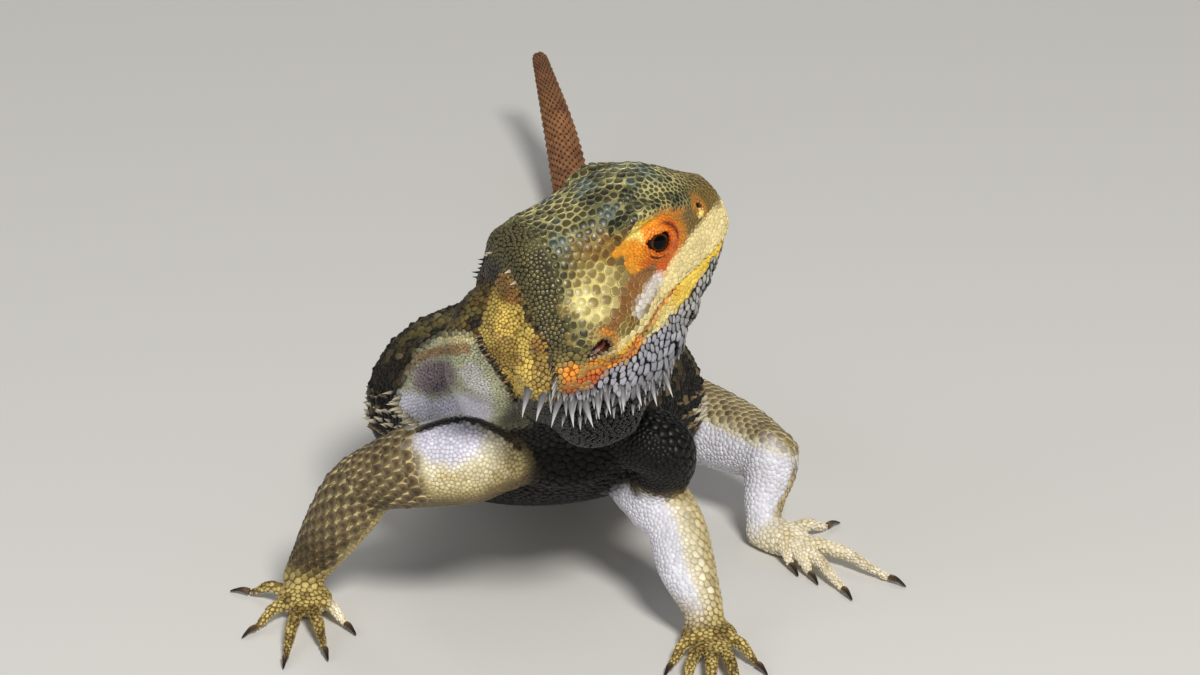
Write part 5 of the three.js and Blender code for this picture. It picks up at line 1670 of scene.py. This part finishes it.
M_EAR = material("ear", (0.30, 0.45), grain=1500, bump=0.5, vary=0.25)
M_EYE = material("eye", (0.05, 0.09), grain=2500, bump=0.02, vary=0.2, specular=0.10)


def finish_piece(ob, mat, replaces=()):
    ob.data.materials.append(mat)
    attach(ob, "root")
    if replaces:
        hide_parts(*replaces)
    return ob


# the skin: the colour between the scales is their rims', darker where the scales are dark
lum = skin_rim.mean(1)
ramp = np.interp(lum, [0.05, 0.5], [0.55, 0.92])
share_z = np.stack([{"head": np.interp(lum, [0.1, 0.45], [0.30, 0.80]), "neck": np.full(len(P), 0.45), "trunk": np.full(len(P), 0.42), "tail": np.full(len(P), 0.40)}.get(z_, ramp) for z_ in ZONES], 1)
k_ = (W * share_z).sum(1) / W.sum(1)
silver = smoothstep(0.8, -0.8, Hh[:, 2] - beard_z(Hh[:, 0])) * W[:, 0]
k_ = k_ * (1 - silver) + 0.12 * silver
k_ = np.where(lum > 0.45, np.maximum(k_, 0.55), k_)
k_ = np.where((skin_mid.mean(1) > lum) & (silver < 0.5), np.maximum(k_, 0.72), k_)
between = skin_rim * k_[:, None]
lidw = (ring_polar(Hh[:, 0], Hh[:, 2])[0] < 6.2) & (np.abs(Hh[:, 1]) > 6) & (W[:, 0] > 0.5)
between[lidw] = skin_mid[lidw] * 0.8
skin_col = np.c_[between, np.full(len(P), 0.5)]
flesh = [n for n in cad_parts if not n.startswith(("eye_", "ear_", "claw_"))]
TR = np.array([tuple(f.vertices) + ((f.vertices[2],) if len(f.vertices) == 3 else ()) for f in skin_me.polygons if len(f.vertices) in (3, 4)])
big_polys = [tuple(f.vertices) for f in skin_me.polygons if len(f.vertices) > 4]
skin_me.vertices.foreach_set("co", to_m(P).ravel())
a = skin_me.attributes.new("Col", "FLOAT_COLOR", "POINT")
a.data.foreach_set("color", skin_col.astype(np.float32).ravel())
skin_me.polygons.foreach_set("use_smooth", np.ones(len(skin_me.polygons), bool))
skin_me.update()
skin_ob = bpy.data.objects.new("skin", skin_me)
bpy.context.scene.collection.objects.link(skin_ob)
finish_piece(skin_ob, M_SKIN, flesh)
clock("skin done")

# ------------------------------------------------------------------ the coat, in pieces
LIMIT = 185000
groups = [
    ("scales_head", h_lid | (zh & ~h_b & ~h_t), 12, True, M_HEAD, "head_skin"),
    ("scales_beard", zh & h_b & ~h_t & ~h_lid, 10, True, M_BEARD, "beard_skin"),
    ("scales_throat", zh & h_t & ~h_lid, 8, True, M_THROAT, "beard_skin"),
    ("scales_neck", where_zone("neck"), 7, False, M_NECK, "neck_skin"),
    ("scales_shoulder", fine_front, 7, False, M_NECK, "trunk_skin"),
    ("scales_trunk", ztr & ~fine_front, 8, False, M_BACK, "trunk_skin"),
    ("scales_tail", zta, 8, False, M_TAIL, "tail_skin"),
    ("scales_arm_R", where_zone("upper_arm_R", "forearm_R", "hand_R"), 8, False, M_LIMB, "arm_skin"),
    ("scales_arm_L", where_zone("upper_arm_L", "forearm_L", "hand_L"), 8, False, M_LIMB, "arm_skin"),
    ("scales_leg_R", where_zone("thigh_R", "shin_R", "foot_R"), 8, False, M_LIMB, "leg_skin"),
    ("scales_leg_L", where_zone("thigh_L", "shin_L", "foot_L"), 8, False, M_LIMB, "leg_skin")]
coat_tris = 0
for name, mask, M, plates, mat, slot in groups:
    sel = np.flatnonzero(mask)
    R = 4 if plates else 3
    per = 2 * M * (R - 1) + M + M - 2
    k = int(math.ceil(len(sel) * per / LIMIT))
    sel = sel[np.argsort(seed_p[sel][:, 1], kind="stable")]
    for i, part in enumerate(np.array_split(sel, max(1, k))):
        if not len(part):
            continue
        ob = build_piece(name if k <= 1 else "%s_%d" % (name, i + 1), part, M, plates)
        finish_piece(ob, mat)
        coat_tris += len(part) * per
        print("   %-18s %6d scales %7d triangles" % (ob.name, len(part), len(part) * per))
clock("coat %d triangles" % coat_tris)


# ------------------------------------------------------------------ horny spines
def horns(name, items, mat, around=8, rings=6):
    """Each item: base point, way out, way it bends, length, width, thickness, colours at the root, the middle and the tip."""
    co, col, uv, F = [], [], [], []
    k0 = 0
    for base, out, bend, length, width, thickness, colours in items:
        out, bend = unit(out), np.asarray(bend, float)
        base = np.asarray(base, float)
        pts = []
        for j in range(rings + 1):
            t = j / rings
            pts.append(base + out * length * (t - 0.16) + bend * length * 0.42 * t * t)
        pts = np.array(pts)
        tan = unit(np.gradient(pts, axis=0))
        wide = unit(np.cross(tan[0], bend + 1e-4)) if np.linalg.norm(bend) > 1e-3 else unit(np.cross(tan[0], [0.1, 0.3, 1.0]))
        near = skin_tree.find(base)[1]
        i_uv = uv_of_vertex(near)
        for j in range(rings + 1):
            t = j / rings
            w = width * 0.53 * (1 - t) ** 1.05 * (1 + 0.35 * t * (1 - t)) + 0.03
            h = thickness * 0.5 * (1 - t) ** 0.9 + 0.02
            side = unit(wide - tan[j] * (wide @ tan[j]))
            flat = np.cross(tan[j], side)
            a_ = np.arange(around) * 2 * math.pi / around
            prof = np.where(np.sin(a_) > 0, 1.0 + 0.35 * np.abs(np.sin(a_)) ** 3, 0.8)  # a ridge along the front
            ring_ = pts[j] + side[None] * (w * np.cos(a_))[:, None] + flat[None] * (h * prof * np.sin(a_))[:, None]
            co.append(ring_)
            c = np.array(colours[0]) * max(0, 1 - 2 * t) + np.array(colours[1]) * (1 - abs(2 * t - 1)) + np.array(colours[2]) * max(0, 2 * t - 1)
            col.append(np.tile(c, (around, 1)))
            uv.append(np.array([i_uv + np.array([PATCH * math.cos(q) * (1 - 0.8 * t), PATCH * math.sin(q) * (1 - 0.8 * t)]) for q in a_]))
        co.append(pts[-1:] + tan[-1] * 0.05)
        col.append(np.array([colours[2]]))
        uv.append(i_uv[None])
        co.append(pts[:1])
        col.append(np.array([colours[0]]))
        uv.append(i_uv[None])
        m0 = np.arange(around)
        m1 = (m0 + 1) % around
        for j in range(rings):
            A, B = k0 + j * around, k0 + (j + 1) * around
            F += [np.stack([A + m0, A + m1, B + m1], 1), np.stack([A + m0, B + m1, B + m0], 1)]
        top_i = k0 + (rings + 1) * around
        F.append(np.stack([k0 + rings * around + m0, k0 + rings * around + m1, np.full(around, top_i)], 1))
        F.append(np.stack([k0 + m1, k0 + m0, np.full(around, top_i + 1)], 1))
        k0 = top_i + 2
    ob = make_mesh(name, np.vstack(co), np.vstack(F), np.vstack(col), np.vstack(uv))
    return finish_piece(ob, mat)


vert_uv = chart_uv(P, N, SZ[own], own)


def uv_of_vertex(i):
    return np.clip(vert_uv[i], 0.003, 0.997)


def cast_head(x, z, s, far=34.0):
    """The skin's point and normal seen from the side of the head at x and z."""
    o = head_to_world([x, s * far, z])
    hit = bvh.ray_cast(Vector(o), Vector(hdir([0, -s, 0])), 40.0)
    if hit[0] is None:
        return None
    return np.array(hit[0]), np.array(hit[1])


def sheet_way(u, v):
    """The line through a place of the sheet."""
    a, b = (u - 600) / SHEET_F, (337.5 - v) / SHEET_F
    return unit(np.array([a, SHEET_C * b + SHEET_S, SHEET_S * b - SHEET_C]))


def cast_sheet(u, v):
    hit = bvh.ray_cast(Vector(SHEET_AT), Vector(sheet_way(u, v)), 3000.0)
    return None if hit[0] is None else (np.array(hit[0]), np.array(hit[1]))


def tip_at(base, u, v, nearer):
    """The place of the sheet at the depth of a point, or nearer by a few millimetres."""
    front = np.array([0.0, SHEET_S, -SHEET_C])
    w = sheet_way(u, v)
    return SHEET_AT + w * (((base - SHEET_AT) @ front - nearer) / (w @ front))


SILVER = (lin(28, 27, 26), lin(126, 125, 128), lin(224, 222, 220))
SILVER2 = (lin(42, 41, 42), lin(126, 125, 128), lin(200, 198, 194))
DARKHORN = (lin(60, 48, 34), lin(96, 76, 48), lin(158, 136, 92))
BLACKHORN = (lin(16, 14, 11), lin(34, 29, 21), lin(66, 57, 42))
PALEHORN = (lin(66, 58, 46), lin(176, 164, 138), lin(226, 218, 196))
MAIN_SPINES = [(492, 384, 482, 404), (513, 390, 508, 416), (529, 392, 519, 416), (544, 397, 533, 420), (560, 401, 548, 426), (571, 401, 571, 426), (584, 403, 591, 426),
               (597, 396, 597, 418), (605, 393, 609, 414), (622, 392, 622, 411), (636, 388, 640, 405), (651, 384, 655, 405), (664, 376, 671, 396), (678, 369, 685, 386), (690, 362, 697, 376)]
items = []
for n_, (u0, v0, u1, v1) in enumerate(MAIN_SPINES):
    hit = cast_sheet(u0, v0 - 3)
    if hit is None:
        continue
    base, nrm = hit
    tip = tip_at(base, u1, v1, 1.2)
    if np.linalg.norm(tip - base) > 11 or W[skin_tree.find(base)[1], 0] < 0.4:
        continue
    for s in (-1, 1):
        bb, tt = base.copy(), tip.copy()
        if s > 0:
            hb, ht = world_to_head(base[None])[0], world_to_head(tip[None])[0]
            hb[1], ht[1] = -hb[1], -ht[1]
            bb = head_to_world(hb)
            bb, _, far_ = skin_tree.find(bb)
            if far_ > 2.5:
                continue
            bb = np.array(bb)
            tt = head_to_world(ht + rng.normal(0, 0.3, 3))
        d = tt - bb
        L_ = float(np.linalg.norm(d)) / 0.88
        items.append((bb, d, hdir([0.15, -s * 0.05, -0.35]), L_, 2.3 if n_ < 7 else 1.8, 1.3, SILVER))
for s in (1, -1):
    for row, (n_, off, long_, wide_) in enumerate(((26, 2.3, 3.1, 1.35), (30, 4.4, 2.1, 1.2), (18, -2.4, 2.6, 1.2))):
        for i in range(n_):
            t = (i + 0.5 + 0.25 * (row % 2) + 0.22 * rng.uniform(-1, 1)) / n_
            x = -9.5 + 34.5 * t
            z = float(rim_z(x)) + off * (0.55 + 0.45 * (1 - t)) + 0.5 * rng.uniform(-1, 1)
            hit = cast_head(x, z, s)
            if hit is None:
                continue
            b, nrm = hit
            out = hdir([-0.50 - 0.2 * (1 - t), s * (0.62 - 0.30 * t), -0.65 - 0.55 * t]) + 0.25 * nrm + rng.normal(0, 0.12, 3)
            size = (1 - 0.55 * t ** 1.6) * rng.uniform(0.72, 1.15)
            items.append((b, out, hdir([0.05, -s * 0.25, -0.75]), long_ * size, wide_ * (0.75 + 0.25 * size), 0.85 * (0.7 + 0.3 * size), SILVER2))
horns("spines_beard", items, M_HORN)
items = []
for s in (1, -1):
    row = catmull([[p[0], p[1], p[2]] for p in NAPE_ROW], np.linspace(0, 1, 11))
    for i, q in enumerate(row):
        hit = cast_head(q[0] + 0.9, q[2], s)
        if hit is None:
            continue
        b, nrm = hit
        items.append((b, hdir([-1.0, s * 0.35, 0.10]) + 0.2 * nrm + rng.normal(0, 0.08, 3), hdir([-0.2, s * 0.3, 0.3]), rng.uniform(0.9, 1.9), 1.0, 0.7, PALEHORN if q[2] > 11 else BLACKHORN))
    for i in range(9):  # down behind the ear to the beard
        t = i / 8
        hit = cast_head(-6.2 - 2.0 * t, -2.5 - 8.0 * t, s)
        if hit is None:
            continue
        b, nrm = hit
        items.append((b, hdir([-0.9, s * 0.45, -0.35]) + 0.2 * nrm + rng.normal(0, 0.08, 3), hdir([0, s * 0.2, -0.3]), 1.6 + 1.3 * t, 1.1, 0.8, SILVER2 if t > 0.6 else BLACKHORN))
for s in (1, -1):
    for i in range(13):  # the scalloped fold across the neck
        t = i / 12
        q = catmull([[*p_, 0] for p_ in FOLD], [t])[0]
        hit = cast_sheet(q[0] + 3.0 + rng.uniform(-1, 1), q[1])
        if hit is None:
            continue
        b, nrm = hit
        tip = tip_at(b, q[0] - 6.5 + rng.uniform(-1, 1), q[1] + 3.5, 1.0)
        if s > 0:
            cx = float(np.interp(b[1], [-22, -12, 10, 40, 100], [4, -3, -8, -12, -12.5]))
            b2 = b.copy()
            b2[0] = 2 * cx - b[0]
            b2, _, far_ = skin_tree.find(b2)
            if far_ > 2.5:
                continue
            b2 = np.array(b2)
            d = tip - b
            d[0] *= -1
            b = b2
        else:
            d = tip - b
        items.append((b, d, [0, 0, -0.2], rng.uniform(1.4, 2.3), 1.2, 0.85, BLACKHORN if rng.rand() < 0.6 else DARKHORN))
horns("spines_neck", items, M_HORN)
items = []
for s in (1, -1):
    for row, (n_, dz, long_) in enumerate(((40, 0.0, 2.5), (44, 2.4, 1.9), (36, -2.4, 1.7), (30, 5.4, 1.6))):
        for i in range(n_):
            t = (i + 0.5 * (row % 2) + 0.35 * rng.uniform(-1, 1)) / n_
            y = 20 + 82 * t
            cx, cz, hw = (float(v[0]) for v in trunk_line(np.array([y])))
            o = np.array([cx + s * (hw + 12), y, cz - 1.0 + dz + rng.uniform(-0.7, 0.7)])
            hit = bvh.ray_cast(Vector(o), Vector((-s, 0, 0)), 30.0)
            if hit[0] is None:
                continue
            b, nrm = np.array(hit[0]), np.array(hit[1])
            j = skin_tree.find(b)[1]
            if W[j, ZI["trunk"]] < 0.7 or rng.rand() < 0.12 or fine_skin(b[None], nrm[None])[0] > 0.3:
                continue
            k = math.sin(math.pi * min(1, t * 1.15 + 0.12)) ** 0.5 if t < 0.8 else 0.8
            # painted shade: on the far side, in front towards the shoulder, the upper rows' pale spines are made dark
            items.append((b, np.array([s * 0.9, 0.7, 0.12]) + 0.4 * nrm + rng.normal(0, 0.22, 3), [0, 0.4, -0.1], long_ * k * rng.uniform(0.7, 1.25), 1.35, 0.9, PALEHORN if row < 2 and (s < 0 or y > 40) else DARKHORN))
# a cluster of long pale ones behind each shoulder, made dark on the far shoulder as painted shade
for i in range(16):
    t = (i + 0.5) / 16
    u, v = 394 + 24 * t + rng.uniform(-5, 5), 394 + 36 * t + rng.uniform(-4, 4)
    hit = cast_sheet(u, v)
    if hit is None:
        continue
    b, nrm = hit
    for s in (-1, 1):
        b2, n2 = b.copy(), nrm.copy()
        if s > 0:
            cx = float(np.interp(b[1], [-22, -12, 10, 40, 100], [4, -3, -8, -12, -12.5]))
            b2[0], n2[0] = 2 * cx - b[0], -nrm[0]
            b2, _, far_ = skin_tree.find(b2)
            if far_ > 2.0 or (unit(np.array(b2) - SHEET_AT) * n2).sum() < 0.6:
                continue
            b2 = np.array(b2)
        # painted shade: the cluster on the far shoulder is dark
        items.append((b2, np.array([s * 0.8, 0.15, -0.25]) + 0.7 * n2 + rng.normal(0, 0.15, 3), [s * 0.1, 0.4, -0.3], rng.uniform(2.0, 3.4), 1.1, 0.8, PALEHORN if s < 0 else DARKHORN))
horns("spines_flank", items, M_HORN)
clock("spines")

# ------------------------------------------------------------------ eyes
def eye(side):
    s = 1 if side == "L" else -1
    c = head_to_world([EYE_POS[0], s * EYE_POS[1], EYE_POS[2]])
    g = unit(hdir([0.06, s * 1.0, 0.13]))
    u = unit(np.cross(g, hdir([0, 0, 1])))
    v = np.cross(g, u)
    rings, around = 40, 64
    co, col, F = [], [], []
    for i in range(rings + 1):
        th = math.pi * (i / rings) ** 1.25
        for j in range(around):
            ph = 2 * math.pi * j / around
            rr = EYE_R + 0.22 * math.exp(-((th * EYE_R) / 1.9) ** 2)  # the cornea's bulge
            co.append(c + (g * math.cos(th) + (u * math.cos(ph) + v * math.sin(ph)) * math.sin(th)) * rr)
            r_mm = th * EYE_R
            streak = 0.5 + 0.5 * math.sin(ph * 23 + 1.7 * math.sin(ph * 7)) * math.sin(ph * 41 + r_mm * 3)
            pupil, ringc = lin(4, 4, 4), lin(84, 46, 18)
            iris = lin(42, 22, 10) * (0.7 + 0.6 * streak)
            if r_mm < 1.5:
                k = pupil
            elif r_mm < 1.72:
                k = ringc * (0.8 + 0.4 * streak)
            else:
                w = min(1, max(0, (r_mm - 1.9) / 0.5))
                k = iris * (1 - w) + lin(22, 12, 7) * w
            col.append(k)
    m0 = np.arange(around)
    m1 = (m0 + 1) % around
    for i in range(rings):
        A, B = i * around, (i + 1) * around
        F += [np.stack([A + m0, B + m0, B + m1], 1), np.stack([A + m0, B + m1, A + m1], 1)]
    F = np.vstack(F)
    co = np.array(co)
    F = F[(np.linalg.norm(co[F[:, 0]] - co[F[:, 1]], axis=1) > 1e-7) & (np.linalg.norm(co[F[:, 1]] - co[F[:, 2]], axis=1) > 1e-7) & (np.linalg.norm(co[F[:, 0]] - co[F[:, 2]], axis=1) > 1e-7)]
    n = np.cross(co[F[:, 1]] - co[F[:, 0]], co[F[:, 2]] - co[F[:, 0]])
    if ((co[F].mean(1) - c) * n).sum() < 0:
        F = F[:, ::-1]
    ob = make_mesh("eyeball_" + side, co, F, np.array(col))
    finish_piece(ob, M_EYE, ["eye_" + side])


def ear(side):
    s = 1 if side == "L" else -1
    hit = cast_head(EAR[0], EAR[1], s)
    c = hit[0] + hdir([0, s * 0.45, 0])
    ca, sa = math.cos(EAR[2]), math.sin(EAR[2])
    u, v, w = hdir([ca, 0, sa]), hdir([-sa, 0, ca]), hdir([0, s, 0])
    rings, around = 14, 36
    co, col, F = [], [], []
    for half in (1, -1):
        for i in range(rings + 1):
            r = i / rings
            for j in range(around):
                ph = 2 * math.pi * j / around
                fold = 0.06 * math.sin(5 * ph) * r
                depth = -0.55 * (1 - r * r) + 0.12 * math.sin(9 * r) + fold if half > 0 else -0.9 + 0.2 * r * r
                co.append(c + u * (2.75 * r * math.cos(ph)) + v * ((1.62 + 0.7 * r * math.cos(ph)) * r * math.sin(ph)) + w * (depth + (0.15 if half > 0 else 0)))
                # the eardrum's own colour is dark red-brown; its orange towards the front edge is painted light and its
                # darkest rear is painted shade inside the ear hole
                k = (lin(50, 14, 6) * (0.5 - 0.5 * math.cos(ph)) + lin(158, 66, 16) * (0.5 + 0.5 * math.cos(ph)) * r) * (0.85 + 0.3 * math.sin(3 * ph + 5 * r) ** 2)
                col.append(k)
    m0 = np.arange(around)
    m1 = (m0 + 1) % around
    n_ = (rings + 1) * around
    for h_ in (0, 1):
        for i in range(rings):
            A, B = h_ * n_ + i * around, h_ * n_ + (i + 1) * around
            F += [np.stack([A + m0, B + m0, B + m1], 1), np.stack([A + m0, B + m1, A + m1], 1)]
    A, B = rings * around, n_ + rings * around
    F += [np.stack([A + m0, B + m0, B + m1], 1), np.stack([A + m0, B + m1, A + m1], 1)]
    F = np.vstack(F)
    co = np.array(co)
    ok = (np.linalg.norm(co[F[:, 0]] - co[F[:, 1]], axis=1) > 1e-7) & (np.linalg.norm(co[F[:, 1]] - co[F[:, 2]], axis=1) > 1e-7) & (np.linalg.norm(co[F[:, 0]] - co[F[:, 2]], axis=1) > 1e-7)
    ob = make_mesh("eardrum_" + side, co, F[ok], np.array(col))
    finish_piece(ob, M_EAR, ["ear_" + side])


for side in ("L", "R"):
    eye(side)
    ear(side)


# ------------------------------------------------------------------ claws, on the construction's own lines
def claw(name, node, root, tip, radius):
    d_ = np.array(tip) - np.array(root)
    d_[2] = 0
    d_ = unit(d_)
    start = radius * 0.6 + 0.3 + 0.45

    def at(sv, z):
        q = np.array(tip) + d_ * sv
        return [q[0], q[1], z]
    rows = [[*at(start - 0.75, tip[2] + 0.12), 0.74], [*at(start + 0.2, tip[2] + 0.26), 0.68], [*at(start + 1.1, tip[2] + 0.22), 0.54], [*at(start + 2.0, tip[2] + 0.02), 0.40],
            [*at(start + 2.9, 0.78), 0.30], [*at(start + 3.6, 0.50), 0.16]]
    sh = Loft(name, rows, cap=(0.3, 0.8))
    v, q, t = sh.mesh(0.22, 16)
    F = np.vstack([q[:, [0, 1, 2]], q[:, [0, 2, 3]], t])
    along = (v - np.array(tip)) @ d_
    w = np.clip((along - start + 0.5) / 3.8, 0, 1)[:, None]
    col = lin(96, 72, 48) * (1 - w) ** 2 + lin(40, 28, 20) * (1 - (1 - w) ** 2)
    n = np.cross(v[F[:, 1]] - v[F[:, 0]], v[F[:, 2]] - v[F[:, 0]])
    if ((v[F].mean(1) - v.mean(0)) * n).sum() < 0:
        F = F[:, ::-1]
    ob = make_mesh(name, v.astype(float), F, col)
    finish_piece(ob, M_CLAW, [node])


for s in ("R", "L"):
    for i in range(5):
        claw("horn_hand_%s_%d" % (s, i + 1), "claw_hand_%s_%d" % (s, i + 1), ARMS[s]["roots"][i], ARMS[s]["tips"][i], FINGER_R[2])
        claw("horn_foot_%s_%d" % (s, i + 1), "claw_foot_%s_%d" % (s, i + 1), LEGS[s]["roots"][i], LEGS[s]["tips"][i], TOE_R[2])
clock("eyes, ears, claws")

# ------------------------------------------------------------------ floor, light, camera
fm = bpy.data.meshes.new("floor")
R_ = 12.0
fm.from_pydata([(-R_, -R_, 0), (R_, -R_, 0), (R_, R_, 0), (-R_, R_, 0)], [], [(0, 1, 2, 3)])
floor = bpy.data.objects.new("floor", fm)
bpy.context.scene.collection.objects.link(floor)
mf = bpy.data.materials.new("floor")
mf.use_nodes = True
b_ = mf.node_tree.nodes["Principled BSDF"]
b_.inputs["Roughness"].default_value = 0.85
nz_ = mf.node_tree.nodes.new("ShaderNodeTexNoise")
nz_.inputs["Scale"].default_value = 3.0
rp = mf.node_tree.nodes.new("ShaderNodeMapRange")
rp.inputs["To Min"].default_value = 0.70
rp.inputs["To Max"].default_value = 0.74
mf.node_tree.links.new(nz_.outputs["Fac"], rp.inputs["Value"])
cc_ = mf.node_tree.nodes.new("ShaderNodeCombineColor")
for q_, mul in zip(("Red", "Green", "Blue"), (1.0, 0.985, 0.95)):
    mm = mf.node_tree.nodes.new("ShaderNodeMath")
    mm.operation = "MULTIPLY"
    mm.inputs[1].default_value = mul
    mf.node_tree.links.new(rp.outputs[0], mm.inputs[0])
    mf.node_tree.links.new(mm.outputs[0], cc_.inputs[q_])
mf.node_tree.links.new(cc_.outputs[0], b_.inputs["Base Color"])
fm.materials.append(mf)

world = bpy.data.worlds.new("studio")
bpy.context.scene.world = world
world.use_nodes = True
bg = world.node_tree.nodes["Background"]
bg.inputs[0].default_value = (0.94, 0.96, 1.0, 1)
bg.inputs[1].default_value = 0.22
aim = to_m([-5, 10, 55])


def lamp(name, at, size, power, colour=(1, 1, 1)):
    l = bpy.data.lights.new(name, "AREA")
    l.shape = "DISK"
    l.size = size
    l.energy = power
    l.color = colour
    o = bpy.data.objects.new(name, l)
    bpy.context.scene.collection.objects.link(o)
    o.location = Vector(aim) + Vector(at)
    o.rotation_euler = (Vector(aim) - o.location).to_track_quat("-Z", "Y").to_euler()
    return o


lamp("key", (0.34, -1.26, 1.16), 0.40, 29.0, (1.0, 0.975, 0.93))
lamp("fill", (-1.25, -0.9, 0.75), 1.0, 4.0, (0.95, 0.98, 1.0))
lamp("rim", (-0.2, 1.4, 1.2), 0.8, 3.5, (1.0, 0.95, 0.86))

cam = bpy.data.cameras.new("camera")
cam.lens = 165.6
cam.sensor_width = 36.0
cam.clip_start = 0.05
cam.clip_end = 60.0
co_ = bpy.data.objects.new("camera", cam)
bpy.context.scene.collection.objects.link(co_)
co_.location = to_m([0, -1061.1, 453.1])
co_.rotation_euler = (math.radians(70), 0, 0)
bpy.context.scene.camera = co_
bpy.context.scene.view_settings.view_transform = "Standard"

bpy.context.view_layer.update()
clock("finished")
